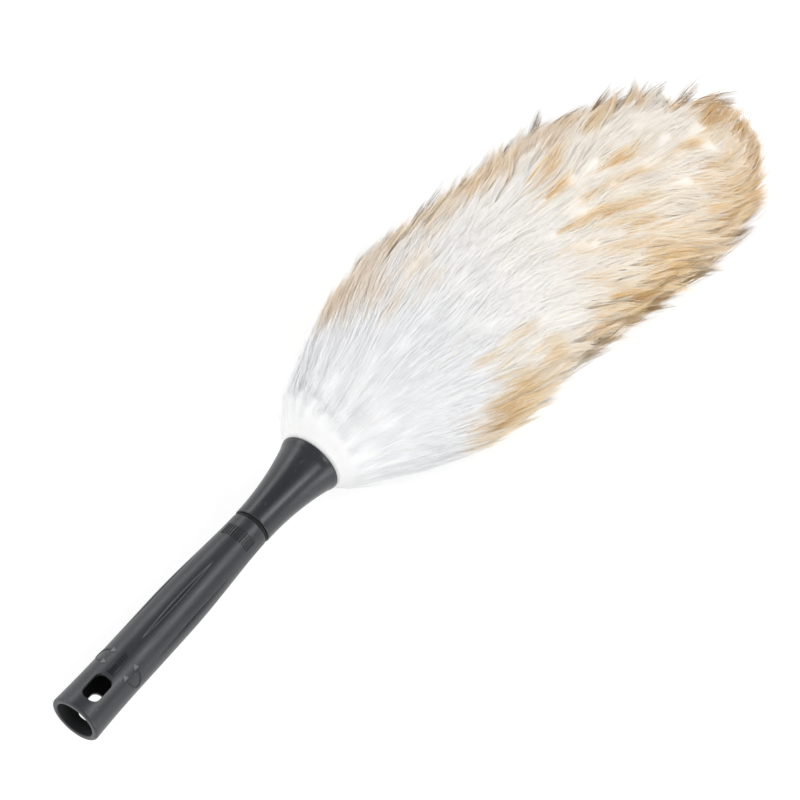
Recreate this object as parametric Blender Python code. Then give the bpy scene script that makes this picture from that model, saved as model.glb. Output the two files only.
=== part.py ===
"""Lambswool duster: a hollow moulded handle and a curved wool head that screws into it.

Metres, +Z up. The duster lies on its wool: the handle's axis runs along +X, the hang slot
faces up, and the head bends towards -Y. Each piece is built around the handle's axis with
the butt at x = 0, and the empty named duster moves the whole to its place on the floor.
Threads are right-handed.
"""

import math

import bmesh
import bpy
import numpy as np
from mathutils import Matrix, Vector

# Fits, and how far pieces that a Boolean joins or cuts run into or past each other
GAP = 0.0003
THREAD_GAP = 0.0003
FLANK_GAP = 0.0001
OVERLAP = 0.0003
CUT_BEYOND = 0.004
WELD_DISTANCE = 0.000002

# Handle grip, a moulding that is open at both ends
GRIP_LENGTH = 0.1676
BUTT_RADIUS = 0.0169
BELLY_RADIUS = 0.01585
NECK_RADIUS = 0.01265
FLARE_LENGTH = 0.046
TAPER_LENGTH = 0.080
TAPER_POWER = 1.6
RIM_ROUND = 0.0016
MOUTH_ROUND = 0.0009
END_ROUND = 0.0005

# Socket for an extension pole
SOCKET_RADIUS = 0.0131
SOCKET_DEPTH = 0.046
SOCKET_STEP = 0.005
POLE_THREAD_DEPTH = 0.026

# Screw thread of poles and of the head, three quarters of an inch across, five to the inch
THREAD_RADIUS = 0.009525
THREAD_ROOT = 0.0080
THREAD_PITCH = 0.00508
THREAD_CREST = 0.0013
THREAD_FLANK = 0.0007
HEAD_THREAD_LENGTH = 0.0130
HEAD_THREAD_RECESS = 0.0040
THREAD_LEAD_IN = 0.0012

# Hang slot, through both walls of the grip
SLOT_MIDDLE = 0.0190
SLOT_LENGTH = 0.0188
SLOT_WIDTH = 0.0116
SLOT_CORNER = 0.0046

# Long lens-shaped creases round the grip
CREASE_COUNT = 6
CREASE_START = 0.058
CREASE_END = 0.1305
CREASE_HALF_WIDTH = 0.0016
CREASE_DEPTH = 0.0011
CREASE_POWER = 0.8
CREASE_OPENING = 0.5
CREASE_TIP = 0.02
CREASE_STEPS = 8

# Raised marks on the grip: a pole with twist arrows, and a row of short ribs
MARK_HEIGHT = 0.0004
MARK_ROOT = 0.0006
POLE_MARK_START = 0.0308
POLE_MARK_SHAFT = 0.0073
POLE_MARK_WIDTH = 0.0052
POLE_MARK_RIBS = 4
POLE_MARK_RIB_WIDTH = 0.0038
POLE_MARK_RIB_STEP = 0.0021
POLE_MARK_RIB_THICKNESS = 0.0010
POLE_MARK_RIB_SLANT = 0.0004
ARROW_MIDDLE = 0.0400
ARROW_HALF_SPREAD = 0.0048
ARROW_NEAR = 0.0064
ARROW_REACH = 0.0205
ARROW_LINE = 0.0012
ARROW_HEAD_WIDTH = 0.0034
ARROW_HEAD_LENGTH = 0.0030
ARROW_STEPS = 12
RIB_COUNT = 13
RIB_STEP = math.radians(8.0)
RIB_FROM_END = 0.0172
RIB_LENGTH = 0.0085
RIB_WIDTH = 0.0009

# Ring that fills the groove between the grip and the collar
RING_WIDTH = 0.0020
RING_RADIUS = 0.0117
RING_RIDGE_RADIUS = 0.0124
RING_RIDGE_WIDTH = 0.0006

# Bell collar of the head
COLLAR_LENGTH = 0.0593
COLLAR_NECK_RADIUS = 0.0129
LIP_RADIUS = 0.0212
BELL_POWER = 2.1
BELL_WALL = 0.0022
LIP_LENGTH = 0.0062
LIP_STEP = 0.0004
LIP_ROUND = 0.0010
COLLAR_EDGE_ROUND = 0.0007
SPIGOT_LENGTH = 0.0195
SPIGOT_BORE = 0.0052
SPIGOT_PLAIN_TIP = 0.0020
SPIGOT_CHAMFER = 0.0006
SPIGOT_BORE_CHAMFER = 0.0004
WEB_BACK = 0.0042
WEB_FRONT = 0.0018
SCREW_HOLE = 0.0023
SOCKET_TUBE_LENGTH = 0.0380
SOCKET_TUBE_WALL = 0.0020
POCKET_START = 0.0180
POCKET_CORNER = 0.0008

# Flexible core of the head
CORE_RADIUS = 0.0060
CORE_LENGTH = 0.392
CORE_END_ROUND = 0.0055
CORE_CHAMFER = 0.0005
PILOT_DEPTH = 0.0230
BEND_START = 0.300
BEND_RADIUS = 0.640

# Screw and washer that hold the core in the collar
SCREW_RADIUS = 0.0020
SCREW_SHANK_RADIUS = 0.0018
SCREW_ROOT = 0.0015
SCREW_PITCH = 0.0022
SCREW_CREST = 0.0003
SCREW_FLANK = 0.0005
SCREW_LENGTH = 0.0260
SCREW_PLAIN = 0.0090
SCREW_TIP = 0.0030
SCREW_HEAD_RADIUS = 0.0039
SCREW_HEAD_HEIGHT = 0.0026
SCREW_HEAD_ROUND = 0.0010
SCREW_SLOT_LENGTH = 0.0043
SCREW_SLOT_WIDTH = 0.0010
SCREW_SLOT_DEPTH = 0.0012
WASHER_RADIUS = 0.0047
WASHER_THICKNESS = 0.0010

# Sheepskin sleeve sewn round the core
PELT_THICKNESS = 0.0018
PELT_STEP_LENGTH = 0.010
SEAM_DEPTH = 0.0012
SEAM_STITCH = 0.0080
SEAM_HALF_WIDTH = 0.0009
SEAM_THREAD = 0.0003
SEAM_BELOW_SKIN = 0.0001
SEAM_END_MARGIN = 0.010

# Twine that ties the sleeve to the collar's core tube
TIE_RADIUS = 0.0008
TIE_TURNS = 4
TIE_SPACE = 0.00045
TIE_FROM_TUBE_END = 0.0015

# Wool: its length from the collar's lip, its largest radius and how it lies on the floor
WOOL_LENGTH = 0.395
WOOL_RADIUS = 0.0735
WOOL_IN_COLLAR = 0.0165
WOOL_TOP_SETTLE = 0.10
WOOL_BELLY_DEPTH = 0.0445
WOOL_BELLY_BLEND = 8
WOOL_BELLY_SQUARENESS = 0.8
AXIS_HEIGHT = 0.042
WOOL_BORE_EXTRA = 0.0004

# The wool's outline from the lip to the tip: share of its length, and as shares of its largest
# radius its own radius and how far its middle stands off the duster's middle line towards +Y
WOOL_OUTLINE = (
    (0.003, 0.290, 0.0),
    (0.012, 0.345, 0.0),
    (0.032, 0.425, 0.007),
    (0.070, 0.540, -0.007),
    (0.110, 0.655, -0.034),
    (0.160, 0.785, -0.061),
    (0.220, 0.905, -0.082),
    (0.290, 0.975, -0.082),
    (0.370, 0.990, -0.075),
    (0.450, 0.970, -0.061),
    (0.530, 0.970, -0.041),
    (0.610, 0.985, -0.014),
    (0.680, 0.970, 0.014),
    (0.750, 0.920, 0.027),
    (0.820, 0.855, 0.034),
    (0.880, 0.755, 0.034),
    (0.930, 0.615, 0.027),
    (0.968, 0.435, 0.020),
    (0.990, 0.250, 0.007),
    (1.000, 0.0, 0.0),
)

# Locks of the wool: how many start side by side round it, how far apart along it, their size,
# where along its length each stands highest, how far it strays from the pattern, as a share of
# their spacing, by how many radians the stray turns from one row or column to the next, and how
# far a lock leans towards the floor for each metre of its length
LOCKS_ROUND = 22
LOCK_SPACE = 0.026
LOCK_LENGTH = 0.036
LOCK_HALF_WIDTH = 0.0095
LOCK_DEPTH = 0.0090
LOCK_PEAK = 0.70
LOCK_STRAY = 0.35
LOCK_STRAY_BY_ROW = 13.0
LOCK_STRAY_BY_COLUMN = 78.0
LOCK_LEAN = 0.45

# Where the combed neck turns into locks, as a share of the wool's length: its middle, how much
# sooner that is towards +Y, and over what length it comes. Below, as sines of the angle round
# the wool, where the locks start to fade and where the pressed underside has none
LOCKS_START = 0.22
LOCKS_SOONER = 0.08
LOCKS_COME = 0.24
LOCKS_FADE = -0.3
LOCKS_GONE = -0.8

# How finely the round pieces are faceted
TURN_STEPS = 32
THREAD_STEPS = 20
SCREW_STEPS = 8
FINE_STEPS = 16
WASHER_STEPS = 24
BORE_STEPS = 24
PILOT_STEPS = 12
CAP_STEPS = 5
BEND_STEPS = 11
TIE_STEPS = 18
WOOL_SIDES = 2 * LOCKS_ROUND
WOOL_BORE_SIDES = LOCKS_ROUND
WOOL_NECK_ROWS = 3
WOOL_ROW_LENGTH = 0.0095

# Places that follow from the sizes above
RING_START = GRIP_LENGTH + GAP
COLLAR_START = RING_START + RING_WIDTH + GAP
COLLAR_END = COLLAR_START + COLLAR_LENGTH
SPIGOT_START = COLLAR_START - SPIGOT_LENGTH
THREAD_START = SPIGOT_START + SPIGOT_PLAIN_TIP
THREAD_END = THREAD_START + HEAD_THREAD_LENGTH
WEB_START = COLLAR_START - WEB_BACK
WEB_END = COLLAR_START + WEB_FRONT
TUBE_END = WEB_END + SOCKET_TUBE_LENGTH
TUBE_BORE = CORE_RADIUS + GAP
TUBE_RADIUS = TUBE_BORE + SOCKET_TUBE_WALL
CORE_START = WEB_END + GAP
CORE_END = CORE_START + CORE_LENGTH
PELT_START = COLLAR_START + POCKET_START + GAP
PELT_BORE = CORE_RADIUS + GAP
PELT_END = CORE_END + GAP + PELT_THICKNESS
GRIP_BORE = THREAD_ROOT + THREAD_GAP
WOOL_END = COLLAR_END + WOOL_LENGTH


def clear_scene():
    for thing in list(bpy.data.objects):
        bpy.data.objects.remove(thing, do_unlink=True)


def material(name, colour, roughness, metallic=0.0):
    made = bpy.data.materials.new(name)
    made.use_nodes = True
    shader = made.node_tree.nodes["Principled BSDF"]
    shader.inputs["Base Color"].default_value = (*colour, 1.0)
    shader.inputs["Roughness"].default_value = roughness
    shader.inputs["Metallic"].default_value = metallic
    return made


def new_object(name, bm, parent, finish=None):
    """Makes an object from a bmesh whose points are given from the handle's butt."""
    mesh = bpy.data.meshes.new(name)
    bmesh.ops.recalc_face_normals(bm, faces=bm.faces[:])
    bm.transform(Matrix.Translation(-parent_place(parent)))
    bm.to_mesh(mesh)
    bm.free()
    mesh.shade_smooth()
    mesh.set_sharp_from_angle(angle=math.radians(35.0))
    thing = bpy.data.objects.new(name, mesh)
    bpy.context.collection.objects.link(thing)
    thing.parent = parent
    if finish:
        mesh.materials.append(finish)
    return thing


def parent_place(parent):
    """The parent's place from the handle's butt."""
    place = Vector()
    while parent and parent.parent:
        place += parent.location
        parent = parent.parent
    return place


def new_empty(name, parent=None, place=(0.0, 0.0, 0.0)):
    empty = bpy.data.objects.new(name, None)
    bpy.context.collection.objects.link(empty)
    empty.parent = parent
    empty.location = place
    return empty


def make_cutter(thing):
    thing.hide_render = True
    thing.display_type = "WIRE"
    return thing


def add_boolean(thing, tool, operation):
    boolean = thing.modifiers.new(operation.lower(), "BOOLEAN")
    boolean.operation = operation
    boolean.solver = "EXACT"
    boolean.object = make_cutter(tool)


def weld_cuts(thing):
    """Joins corners that Booleans leave so close together that they are one."""
    weld = thing.modifiers.new("weld", "WELD")
    weld.merge_threshold = WELD_DISTANCE


def arc(middle_x, middle_r, radius, start, end, steps):
    """Points (x, r) on an arc, with its angles in degrees from +x towards +r."""
    points = []
    for step in range(steps + 1):
        angle = math.radians(start + (end - start) * step / steps)
        points.append((middle_x + radius * math.cos(angle), middle_r + radius * math.sin(angle)))
    return points


def turned(outline, steps=TURN_STEPS):
    """A bmesh of an outline of (x, r) points turned round the X axis. The outline is a closed
    loop, or starts and ends on the axis."""
    bm = bmesh.new()
    corners = [bm.verts.new((x, 0.0, r)) for x, r in outline]
    edges = [bm.edges.new(pair) for pair in zip(corners, corners[1:])]
    if outline[0][1] > 0.0:
        edges.append(bm.edges.new((corners[-1], corners[0])))
    bmesh.ops.spin(
        bm,
        geom=corners + edges,
        cent=(0.0, 0.0, 0.0),
        axis=(1.0, 0.0, 0.0),
        angle=math.tau,
        steps=steps,
        use_merge=True,
    )
    bmesh.ops.remove_doubles(bm, verts=bm.verts[:], dist=1e-7)
    return bm


def cylinder(start, end, radius, steps=FINE_STEPS):
    """A bmesh of a plain cylinder on the X axis."""
    bm = bmesh.new()
    bmesh.ops.create_cone(
        bm,
        cap_ends=True,
        segments=steps,
        radius1=radius,
        radius2=radius,
        depth=end - start,
        matrix=Matrix.Translation(((start + end) / 2, 0.0, 0.0)) @ Matrix.Rotation(math.pi / 2, 4, "Y"),
    )
    return bm


def threaded_rod(start, end, root, crest, pitch, crest_width, flank, phase, steps=THREAD_STEPS):
    """A bmesh of a right-handed screw on the X axis, cut square at start and end.

    A crest passes straight above the axis at x = phase and at every pitch from it."""
    turns = math.ceil((end - start) / pitch) + 3
    first = phase - pitch * (math.ceil((phase - start) / pitch) + 2)
    half = crest_width / 2
    section = (
        (-pitch / 2, root),
        (-half - flank, root),
        (-half, crest),
        (half, crest),
        (half + flank, root),
        (pitch / 2, root),
    )
    bm = bmesh.new()
    corners = [bm.verts.new((first + x, 0.0, r)) for x, r in section]
    edges = [bm.edges.new(pair) for pair in zip(corners, corners[1:])]
    bmesh.ops.spin(
        bm,
        geom=corners + edges,
        cent=(0.0, 0.0, 0.0),
        axis=(1.0, 0.0, 0.0),
        dvec=(pitch / steps, 0.0, 0.0),
        angle=math.tau * turns,
        steps=steps * turns,
    )
    bmesh.ops.remove_doubles(bm, verts=bm.verts[:], dist=1e-6)
    for x, keep_above in ((start, True), (end, False)):
        bmesh.ops.bisect_plane(
            bm,
            geom=bm.verts[:] + bm.edges[:] + bm.faces[:],
            dist=1e-7,
            plane_co=(x, 0.0, 0.0),
            plane_no=(1.0, 0.0, 0.0),
            clear_inner=keep_above,
            clear_outer=not keep_above,
        )
    bmesh.ops.holes_fill(bm, edges=[edge for edge in bm.edges if edge.is_boundary], sides=0)
    bmesh.ops.triangulate(bm, faces=[face for face in bm.faces if len(face.verts) > 4])
    return bm


def skin(rows):
    """A bmesh of closed rings of points joined in order, with one point at each end. A ring may
    have half as many points as its neighbour."""
    sides = max(len(row) for row in rows)
    bm = bmesh.new()
    bmesh.ops.create_grid(bm, x_segments=sides, y_segments=len(rows) - 1, size=0.5)
    bm.verts.ensure_lookup_table()
    for vertex in bm.verts:
        column = round((vertex.co.x + 0.5) * sides)
        row = rows[round((vertex.co.y + 0.5) * (len(rows) - 1))]
        vertex.co = row[column % sides * len(row) // sides]
    bmesh.ops.remove_doubles(bm, verts=bm.verts[:], dist=1e-7)
    return bm


def middle_line(distance):
    """The place on the duster's middle line at this distance from the butt, and the side
    direction there, which is level and points to the outside of the bend."""
    if distance <= BEND_START:
        return Vector((distance, 0.0, 0.0)), Vector((0.0, 1.0, 0.0))
    angle = (distance - BEND_START) / BEND_RADIUS
    place = Vector(
        (
            BEND_START + BEND_RADIUS * math.sin(angle),
            -BEND_RADIUS * (1.0 - math.cos(angle)),
            0.0,
        )
    )
    return place, Vector((math.sin(angle), math.cos(angle), 0.0))


def ring_at(distance, radius, sides=FINE_STEPS, shape=None):
    """Points round the middle line; shape gives (side, up) for an angle, instead of a circle."""
    place, side = middle_line(distance)
    points = []
    for step in range(sides):
        angle = math.tau * step / sides
        if shape:
            across, up = shape(angle)
        else:
            across, up = radius * math.cos(angle), radius * math.sin(angle)
        points.append(place + side * across + Vector((0.0, 0.0, up)))
    return points


def tube_object(name, points, radius, parent, finish, sides_level=1):
    """A round cord along the points, given from the handle's butt."""
    curve = bpy.data.curves.new(name, "CURVE")
    curve.dimensions = "3D"
    curve.bevel_depth = radius
    curve.bevel_resolution = sides_level
    curve.use_fill_caps = True
    spline = curve.splines.new("POLY")
    spline.points.add(len(points) - 1)
    offset = parent_place(parent)
    for target, point in zip(spline.points, points):
        target.co = (*(point - offset), 1.0)
    thing = bpy.data.objects.new(name, curve)
    bpy.context.collection.objects.link(thing)
    thing.parent = parent
    curve.materials.append(finish)
    return thing


def grip_radius(x):
    """Outer radius of the grip: a flare at the butt, a straight belly and a taper to the neck."""
    if x < FLARE_LENGTH:
        share = 1.0 - max(x - RIM_ROUND, 0.0) / (FLARE_LENGTH - RIM_ROUND)
        return BELLY_RADIUS + (BUTT_RADIUS - BELLY_RADIUS) * share**2
    along = (x - (GRIP_LENGTH - TAPER_LENGTH)) / TAPER_LENGTH
    if along <= 0.0:
        return BELLY_RADIUS
    share = max(math.cos(math.pi / 2 * min(along, 1.0)), 0.0) ** TAPER_POWER
    return NECK_RADIUS + (BELLY_RADIUS - NECK_RADIUS) * share


def collar_radius(x):
    """Outer radius of the bell's plain curve, without the step of its lip."""
    share = max(x - COLLAR_START, 0.0) / COLLAR_LENGTH
    return COLLAR_NECK_RADIUS + (LIP_RADIUS - COLLAR_NECK_RADIUS) * share**BELL_POWER


def between(start, end, steps):
    return [start + (end - start) * step / steps for step in range(steps + 1)]


def grip_outline():
    outside = arc(RIM_ROUND, BUTT_RADIUS - RIM_ROUND, RIM_ROUND, 180, 90, 3)
    outside += [(x, grip_radius(x)) for x in between(RIM_ROUND, FLARE_LENGTH, 5)[1:]]
    outside += [(x, grip_radius(x)) for x in between(GRIP_LENGTH - TAPER_LENGTH, GRIP_LENGTH - END_ROUND, 9)]
    outside += arc(GRIP_LENGTH - END_ROUND, NECK_RADIUS - END_ROUND, END_ROUND, 90, 0, 3)[1:]
    inside = [
        (GRIP_LENGTH, GRIP_BORE + THREAD_LEAD_IN),
        (GRIP_LENGTH - THREAD_LEAD_IN, GRIP_BORE),
        (SOCKET_DEPTH + SOCKET_STEP, GRIP_BORE),
        (SOCKET_DEPTH, SOCKET_RADIUS),
    ]
    inside += arc(MOUTH_ROUND, SOCKET_RADIUS + MOUTH_ROUND, MOUTH_ROUND, 270, 180, 3)
    return outside + inside


def on_grip(x, arc_length, lift):
    """A point above the grip's surface, arc_length round from its top line towards +Y."""
    radius = grip_radius(x)
    angle = arc_length / radius
    return Vector((x, (radius + lift) * math.sin(angle), (radius + lift) * math.cos(angle)))


def raised_mark(bm, outline):
    """Adds a closed raised patch on the grip, from an outline of (x, arc length) points."""
    lower = [bm.verts.new((x, across, -MARK_ROOT)) for x, across in outline]
    base = bm.faces.new(lower)
    grown = bmesh.ops.extrude_face_region(bm, geom=[base])["geom"]
    upper = [item for item in grown if isinstance(item, bmesh.types.BMVert)]
    bmesh.ops.translate(bm, verts=upper, vec=(0.0, 0.0, MARK_ROOT + MARK_HEIGHT))
    for vertex in lower + upper:
        vertex.co = on_grip(vertex.co.x, vertex.co.y, vertex.co.z)


def box_mark(bm, x, length, across, width, slant=0.0):
    half = width / 2
    raised_mark(
        bm,
        (
            (x - slant, across - half),
            (x + length - slant, across - half),
            (x + length + slant, across + half),
            (x + slant, across + half),
        ),
    )


def arrow_line(share, side):
    """Middle of the twist arrow's bent line, as (x, arc length)."""
    angle = math.pi * share
    reach = ARROW_REACH - ARROW_NEAR - ARROW_HEAD_LENGTH
    x = ARROW_MIDDLE - ARROW_HALF_SPREAD * math.cos(angle)
    across = side * (ARROW_NEAR + ARROW_HEAD_LENGTH + reach * math.sin(angle))
    return Vector((x, across))


def twist_arrow(bm, side):
    """One bent arrow with a head at each end, both pointing at the pole mark."""
    middle = [arrow_line(step / ARROW_STEPS, side) for step in range(ARROW_STEPS + 1)]
    outer, inner = [], []
    for step, point in enumerate(middle):
        before, after = middle[max(step - 1, 0)], middle[min(step + 1, ARROW_STEPS)]
        along = (after - before).normalized()
        normal = Vector((-along.y, along.x)) * (ARROW_LINE / 2)
        outer.append(point + normal * side)
        inner.append(point - normal * side)
    head = ARROW_HEAD_WIDTH / 2
    first, last = middle[0], middle[-1]
    outline = [Vector((first.x - head, first.y)), *outer, Vector((last.x + head, last.y))]
    outline += [last - Vector((0.0, side * ARROW_HEAD_LENGTH)), Vector((last.x - head, last.y))]
    outline += [*reversed(inner), Vector((first.x + head, first.y))]
    outline += [first - Vector((0.0, side * ARROW_HEAD_LENGTH))]
    raised_mark(bm, [tuple(point) for point in outline])


def grip_marks(parent):
    bm = bmesh.new()
    box_mark(bm, POLE_MARK_START, POLE_MARK_SHAFT, 0.0, POLE_MARK_WIDTH)
    for rib in range(POLE_MARK_RIBS):
        x = POLE_MARK_START + POLE_MARK_SHAFT + (rib + 0.5) * POLE_MARK_RIB_STEP
        box_mark(bm, x, POLE_MARK_RIB_THICKNESS, 0.0, POLE_MARK_RIB_WIDTH, POLE_MARK_RIB_SLANT)
    for side in (-1, 1):
        twist_arrow(bm, side)
    start = GRIP_LENGTH - RIB_FROM_END
    radius = grip_radius(start + RIB_LENGTH / 2)
    for rib in range(RIB_COUNT):
        across = (rib - (RIB_COUNT - 1) / 2) * RIB_STEP * radius
        box_mark(bm, start, RIB_LENGTH, across, RIB_WIDTH)
    return new_object("grip_marks_tool", bm, parent)


def crease_tool(parent):
    """Long V-shaped wedges, each deepest at its middle."""
    bm = bmesh.new()
    for crease in range(CREASE_COUNT):
        turn = Matrix.Rotation(math.tau * crease / CREASE_COUNT, 3, "X")
        rows = []
        for step in range(CREASE_STEPS + 1):
            share = step / CREASE_STEPS
            x = CREASE_START + (CREASE_END - CREASE_START) * share
            swell = math.sin(math.pi * min(max(share, CREASE_TIP), 1.0 - CREASE_TIP)) ** CREASE_POWER
            half = CREASE_HALF_WIDTH * swell * (1.0 + CREASE_OPENING)
            depth = CREASE_DEPTH * swell
            brim = grip_radius(x) + depth * CREASE_OPENING
            corners = ((0.0, grip_radius(x) - depth), (-half, brim), (half, brim))
            rows.append([bm.verts.new(turn @ Vector((x, *corner))) for corner in corners])
        for near, far in zip(rows, rows[1:]):
            for side in range(3):
                other = (side + 1) % 3
                bm.faces.new((near[side], near[other], far[other], far[side]))
        bm.faces.new(rows[0])
        bm.faces.new(rows[-1])
    return new_object("crease_tool", bm, parent)


def slot_tool(parent):
    """A rounded bar that cuts the hang slot through both walls."""
    bm = bmesh.new()
    half_length, half_width = SLOT_LENGTH / 2 - SLOT_CORNER, SLOT_WIDTH / 2 - SLOT_CORNER
    corners = []
    for quarter, (x, y) in enumerate(((1, 1), (-1, 1), (-1, -1), (1, -1))):
        corners += arc(
            SLOT_MIDDLE + x * half_length, y * half_width, SLOT_CORNER, 90 * quarter, 90 * quarter + 90, 5
        )
    depth = BUTT_RADIUS + CUT_BEYOND
    base = bm.faces.new([bm.verts.new((x, y, -depth)) for x, y in corners])
    grown = bmesh.ops.extrude_face_region(bm, geom=[base])["geom"]
    upper = [item for item in grown if isinstance(item, bmesh.types.BMVert)]
    bmesh.ops.translate(bm, verts=upper, vec=(0.0, 0.0, 2 * depth))
    return new_object("slot_tool", bm, parent)


def female_thread_tool(name, start, end, phase, parent):
    bm = threaded_rod(
        start,
        end,
        THREAD_ROOT,
        THREAD_RADIUS + THREAD_GAP,
        THREAD_PITCH,
        THREAD_CREST + 2 * THREAD_GAP,
        THREAD_FLANK + FLANK_GAP,
        phase,
    )
    return new_object(name, bm, parent)


def make_grip(parent, finish):
    grip = new_object("grip", turned(grip_outline()), parent, finish)
    add_boolean(grip, grip_marks(parent), "UNION")
    add_boolean(grip, crease_tool(parent), "DIFFERENCE")
    add_boolean(grip, slot_tool(parent), "DIFFERENCE")
    pole_start = SOCKET_DEPTH + SOCKET_STEP / 2
    pole = female_thread_tool("pole_thread_tool", pole_start, pole_start + POLE_THREAD_DEPTH, pole_start, parent)
    add_boolean(grip, pole, "DIFFERENCE")
    head = female_thread_tool(
        "head_thread_tool",
        THREAD_START - HEAD_THREAD_RECESS,
        GRIP_LENGTH + THREAD_PITCH,
        THREAD_START,
        parent,
    )
    add_boolean(grip, head, "DIFFERENCE")
    weld_cuts(grip)
    return grip


def make_ring(parent, finish):
    bore = THREAD_RADIUS + THREAD_GAP
    middle = RING_START + RING_WIDTH / 2
    half = RING_RIDGE_WIDTH / 2
    outline = (
        (RING_START, bore),
        (RING_START, RING_RADIUS),
        (middle - 2 * half, RING_RADIUS),
        (middle - half, RING_RIDGE_RADIUS),
        (middle + half, RING_RIDGE_RADIUS),
        (middle + 2 * half, RING_RADIUS),
        (RING_START + RING_WIDTH, RING_RADIUS),
        (RING_START + RING_WIDTH, bore),
    )
    return new_object("joint_ring", turned(outline), parent, finish)


def collar_outline():
    """The bell, its stepped lip, the pocket for the sleeve, the core's tube and a solid spigot."""
    edge = COLLAR_START + COLLAR_EDGE_ROUND
    lip_start = COLLAR_END - LIP_LENGTH
    pocket = COLLAR_START + POCKET_START
    outline = [(SPIGOT_START, SPIGOT_BORE + SPIGOT_BORE_CHAMFER), (SPIGOT_START, THREAD_ROOT - SPIGOT_CHAMFER)]
    outline += [(SPIGOT_START + SPIGOT_CHAMFER, THREAD_ROOT), (COLLAR_START, THREAD_ROOT)]
    outline += arc(edge, COLLAR_NECK_RADIUS - COLLAR_EDGE_ROUND, COLLAR_EDGE_ROUND, 180, 90, 3)
    outline += [(x, collar_radius(x)) for x in between(edge, lip_start, 8)[1:]]
    for x in between(lip_start + LIP_STEP, COLLAR_END - LIP_ROUND, 2):
        outline.append((x, min(collar_radius(x) + LIP_STEP, LIP_RADIUS)))
    outline += arc(COLLAR_END - LIP_ROUND, LIP_RADIUS - LIP_ROUND, LIP_ROUND, 60, 0, 2)
    outline += [(COLLAR_END, LIP_RADIUS - BELL_WALL)]
    outline += [(x, collar_radius(x) - BELL_WALL) for x in between(lip_start, pocket + POCKET_CORNER, 5)]
    outline += [(pocket, collar_radius(pocket) - BELL_WALL - POCKET_CORNER), (pocket, TUBE_RADIUS)]
    outline += [(TUBE_END, TUBE_RADIUS), (TUBE_END, TUBE_BORE), (WEB_END, TUBE_BORE)]
    outline += [(WEB_END, SCREW_HOLE), (WEB_START, SCREW_HOLE), (WEB_START, SPIGOT_BORE)]
    outline += [(SPIGOT_START + SPIGOT_BORE_CHAMFER, SPIGOT_BORE)]
    return outline


def make_collar(parent, finish):
    collar = new_object("bell_collar", turned(collar_outline()), parent, finish)
    root = THREAD_ROOT - OVERLAP
    rod = threaded_rod(
        THREAD_START,
        THREAD_END,
        root,
        THREAD_RADIUS,
        THREAD_PITCH,
        THREAD_CREST,
        THREAD_FLANK,
        THREAD_START,
    )
    thread = new_object("spigot_thread_tool", rod, parent)
    core = cylinder(THREAD_START - CUT_BEYOND, THREAD_END + CUT_BEYOND, (SPIGOT_BORE + root) / 2, BORE_STEPS)
    add_boolean(thread, new_object("spigot_hollow_tool", core, parent), "DIFFERENCE")
    add_boolean(collar, thread, "UNION")
    return collar


def cap_angles():
    """Angles between the side and the tip of a rounded end."""
    return [math.pi / 2 * step / CAP_STEPS for step in range(1, CAP_STEPS)]


def make_core(parent, finish):
    """The rod with a rounded tip that stands in the collar's tube and bends with the head."""
    rows = [[middle_line(CORE_START)[0]], ring_at(CORE_START, CORE_RADIUS - CORE_CHAMFER)]
    rows += [ring_at(CORE_START + CORE_CHAMFER, CORE_RADIUS)]
    body_end = CORE_END - CORE_END_ROUND
    rows += [ring_at(d, CORE_RADIUS) for d in between(BEND_START, body_end, BEND_STEPS)]
    for angle in cap_angles():
        radius = CORE_RADIUS - CORE_END_ROUND * (1.0 - math.cos(angle))
        rows.append(ring_at(body_end + CORE_END_ROUND * math.sin(angle), radius))
    rows.append([middle_line(CORE_END)[0]])
    core = new_object("core_rod", skin(rows), parent, finish)
    pilot = cylinder(CORE_START - CUT_BEYOND, CORE_START + PILOT_DEPTH, SCREW_RADIUS + GAP, PILOT_STEPS)
    add_boolean(core, new_object("pilot_tool", pilot, parent), "DIFFERENCE")
    return core


def make_screw(parent, finish):
    """A pan-head screw with a cross slot, driven towards +X from inside the spigot."""
    seat = WEB_START - GAP - WASHER_THICKNESS - GAP
    crown = seat - SCREW_HEAD_HEIGHT
    plain_end = seat + SCREW_PLAIN
    tip = seat + SCREW_LENGTH
    inner = SCREW_ROOT - OVERLAP
    round_middle = SCREW_HEAD_RADIUS - SCREW_HEAD_ROUND
    outline = [(crown, 0.0), (crown, round_middle)]
    outline += arc(crown + SCREW_HEAD_ROUND, round_middle, SCREW_HEAD_ROUND, 150, 90, 2)
    outline += [(seat, SCREW_HEAD_RADIUS), (seat, SCREW_SHANK_RADIUS)]
    outline += [(plain_end, SCREW_SHANK_RADIUS), (plain_end + OVERLAP, inner)]
    outline += [(tip - SCREW_TIP + OVERLAP, inner), (tip, 0.0)]
    screw = new_object("core_screw", turned(outline, FINE_STEPS), parent, finish)
    thread = threaded_rod(
        plain_end - OVERLAP,
        tip - SCREW_TIP,
        SCREW_ROOT,
        SCREW_RADIUS,
        SCREW_PITCH,
        SCREW_CREST,
        SCREW_FLANK,
        plain_end,
        SCREW_STEPS,
    )
    add_boolean(screw, new_object("screw_thread_tool", thread, parent), "UNION")
    for name, turn in (("screw_slot_tool", 0.0), ("screw_cross_tool", math.pi / 2)):
        blade = bmesh.new()
        place = Matrix.Translation((crown, 0.0, 0.0)) @ Matrix.Rotation(turn, 4, "X")
        size = Matrix.Diagonal((2 * SCREW_SLOT_DEPTH, SCREW_SLOT_LENGTH, SCREW_SLOT_WIDTH, 1.0))
        bmesh.ops.create_cube(blade, size=1.0, matrix=place @ size)
        add_boolean(screw, new_object(name, blade, parent), "DIFFERENCE")
    return screw


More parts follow.
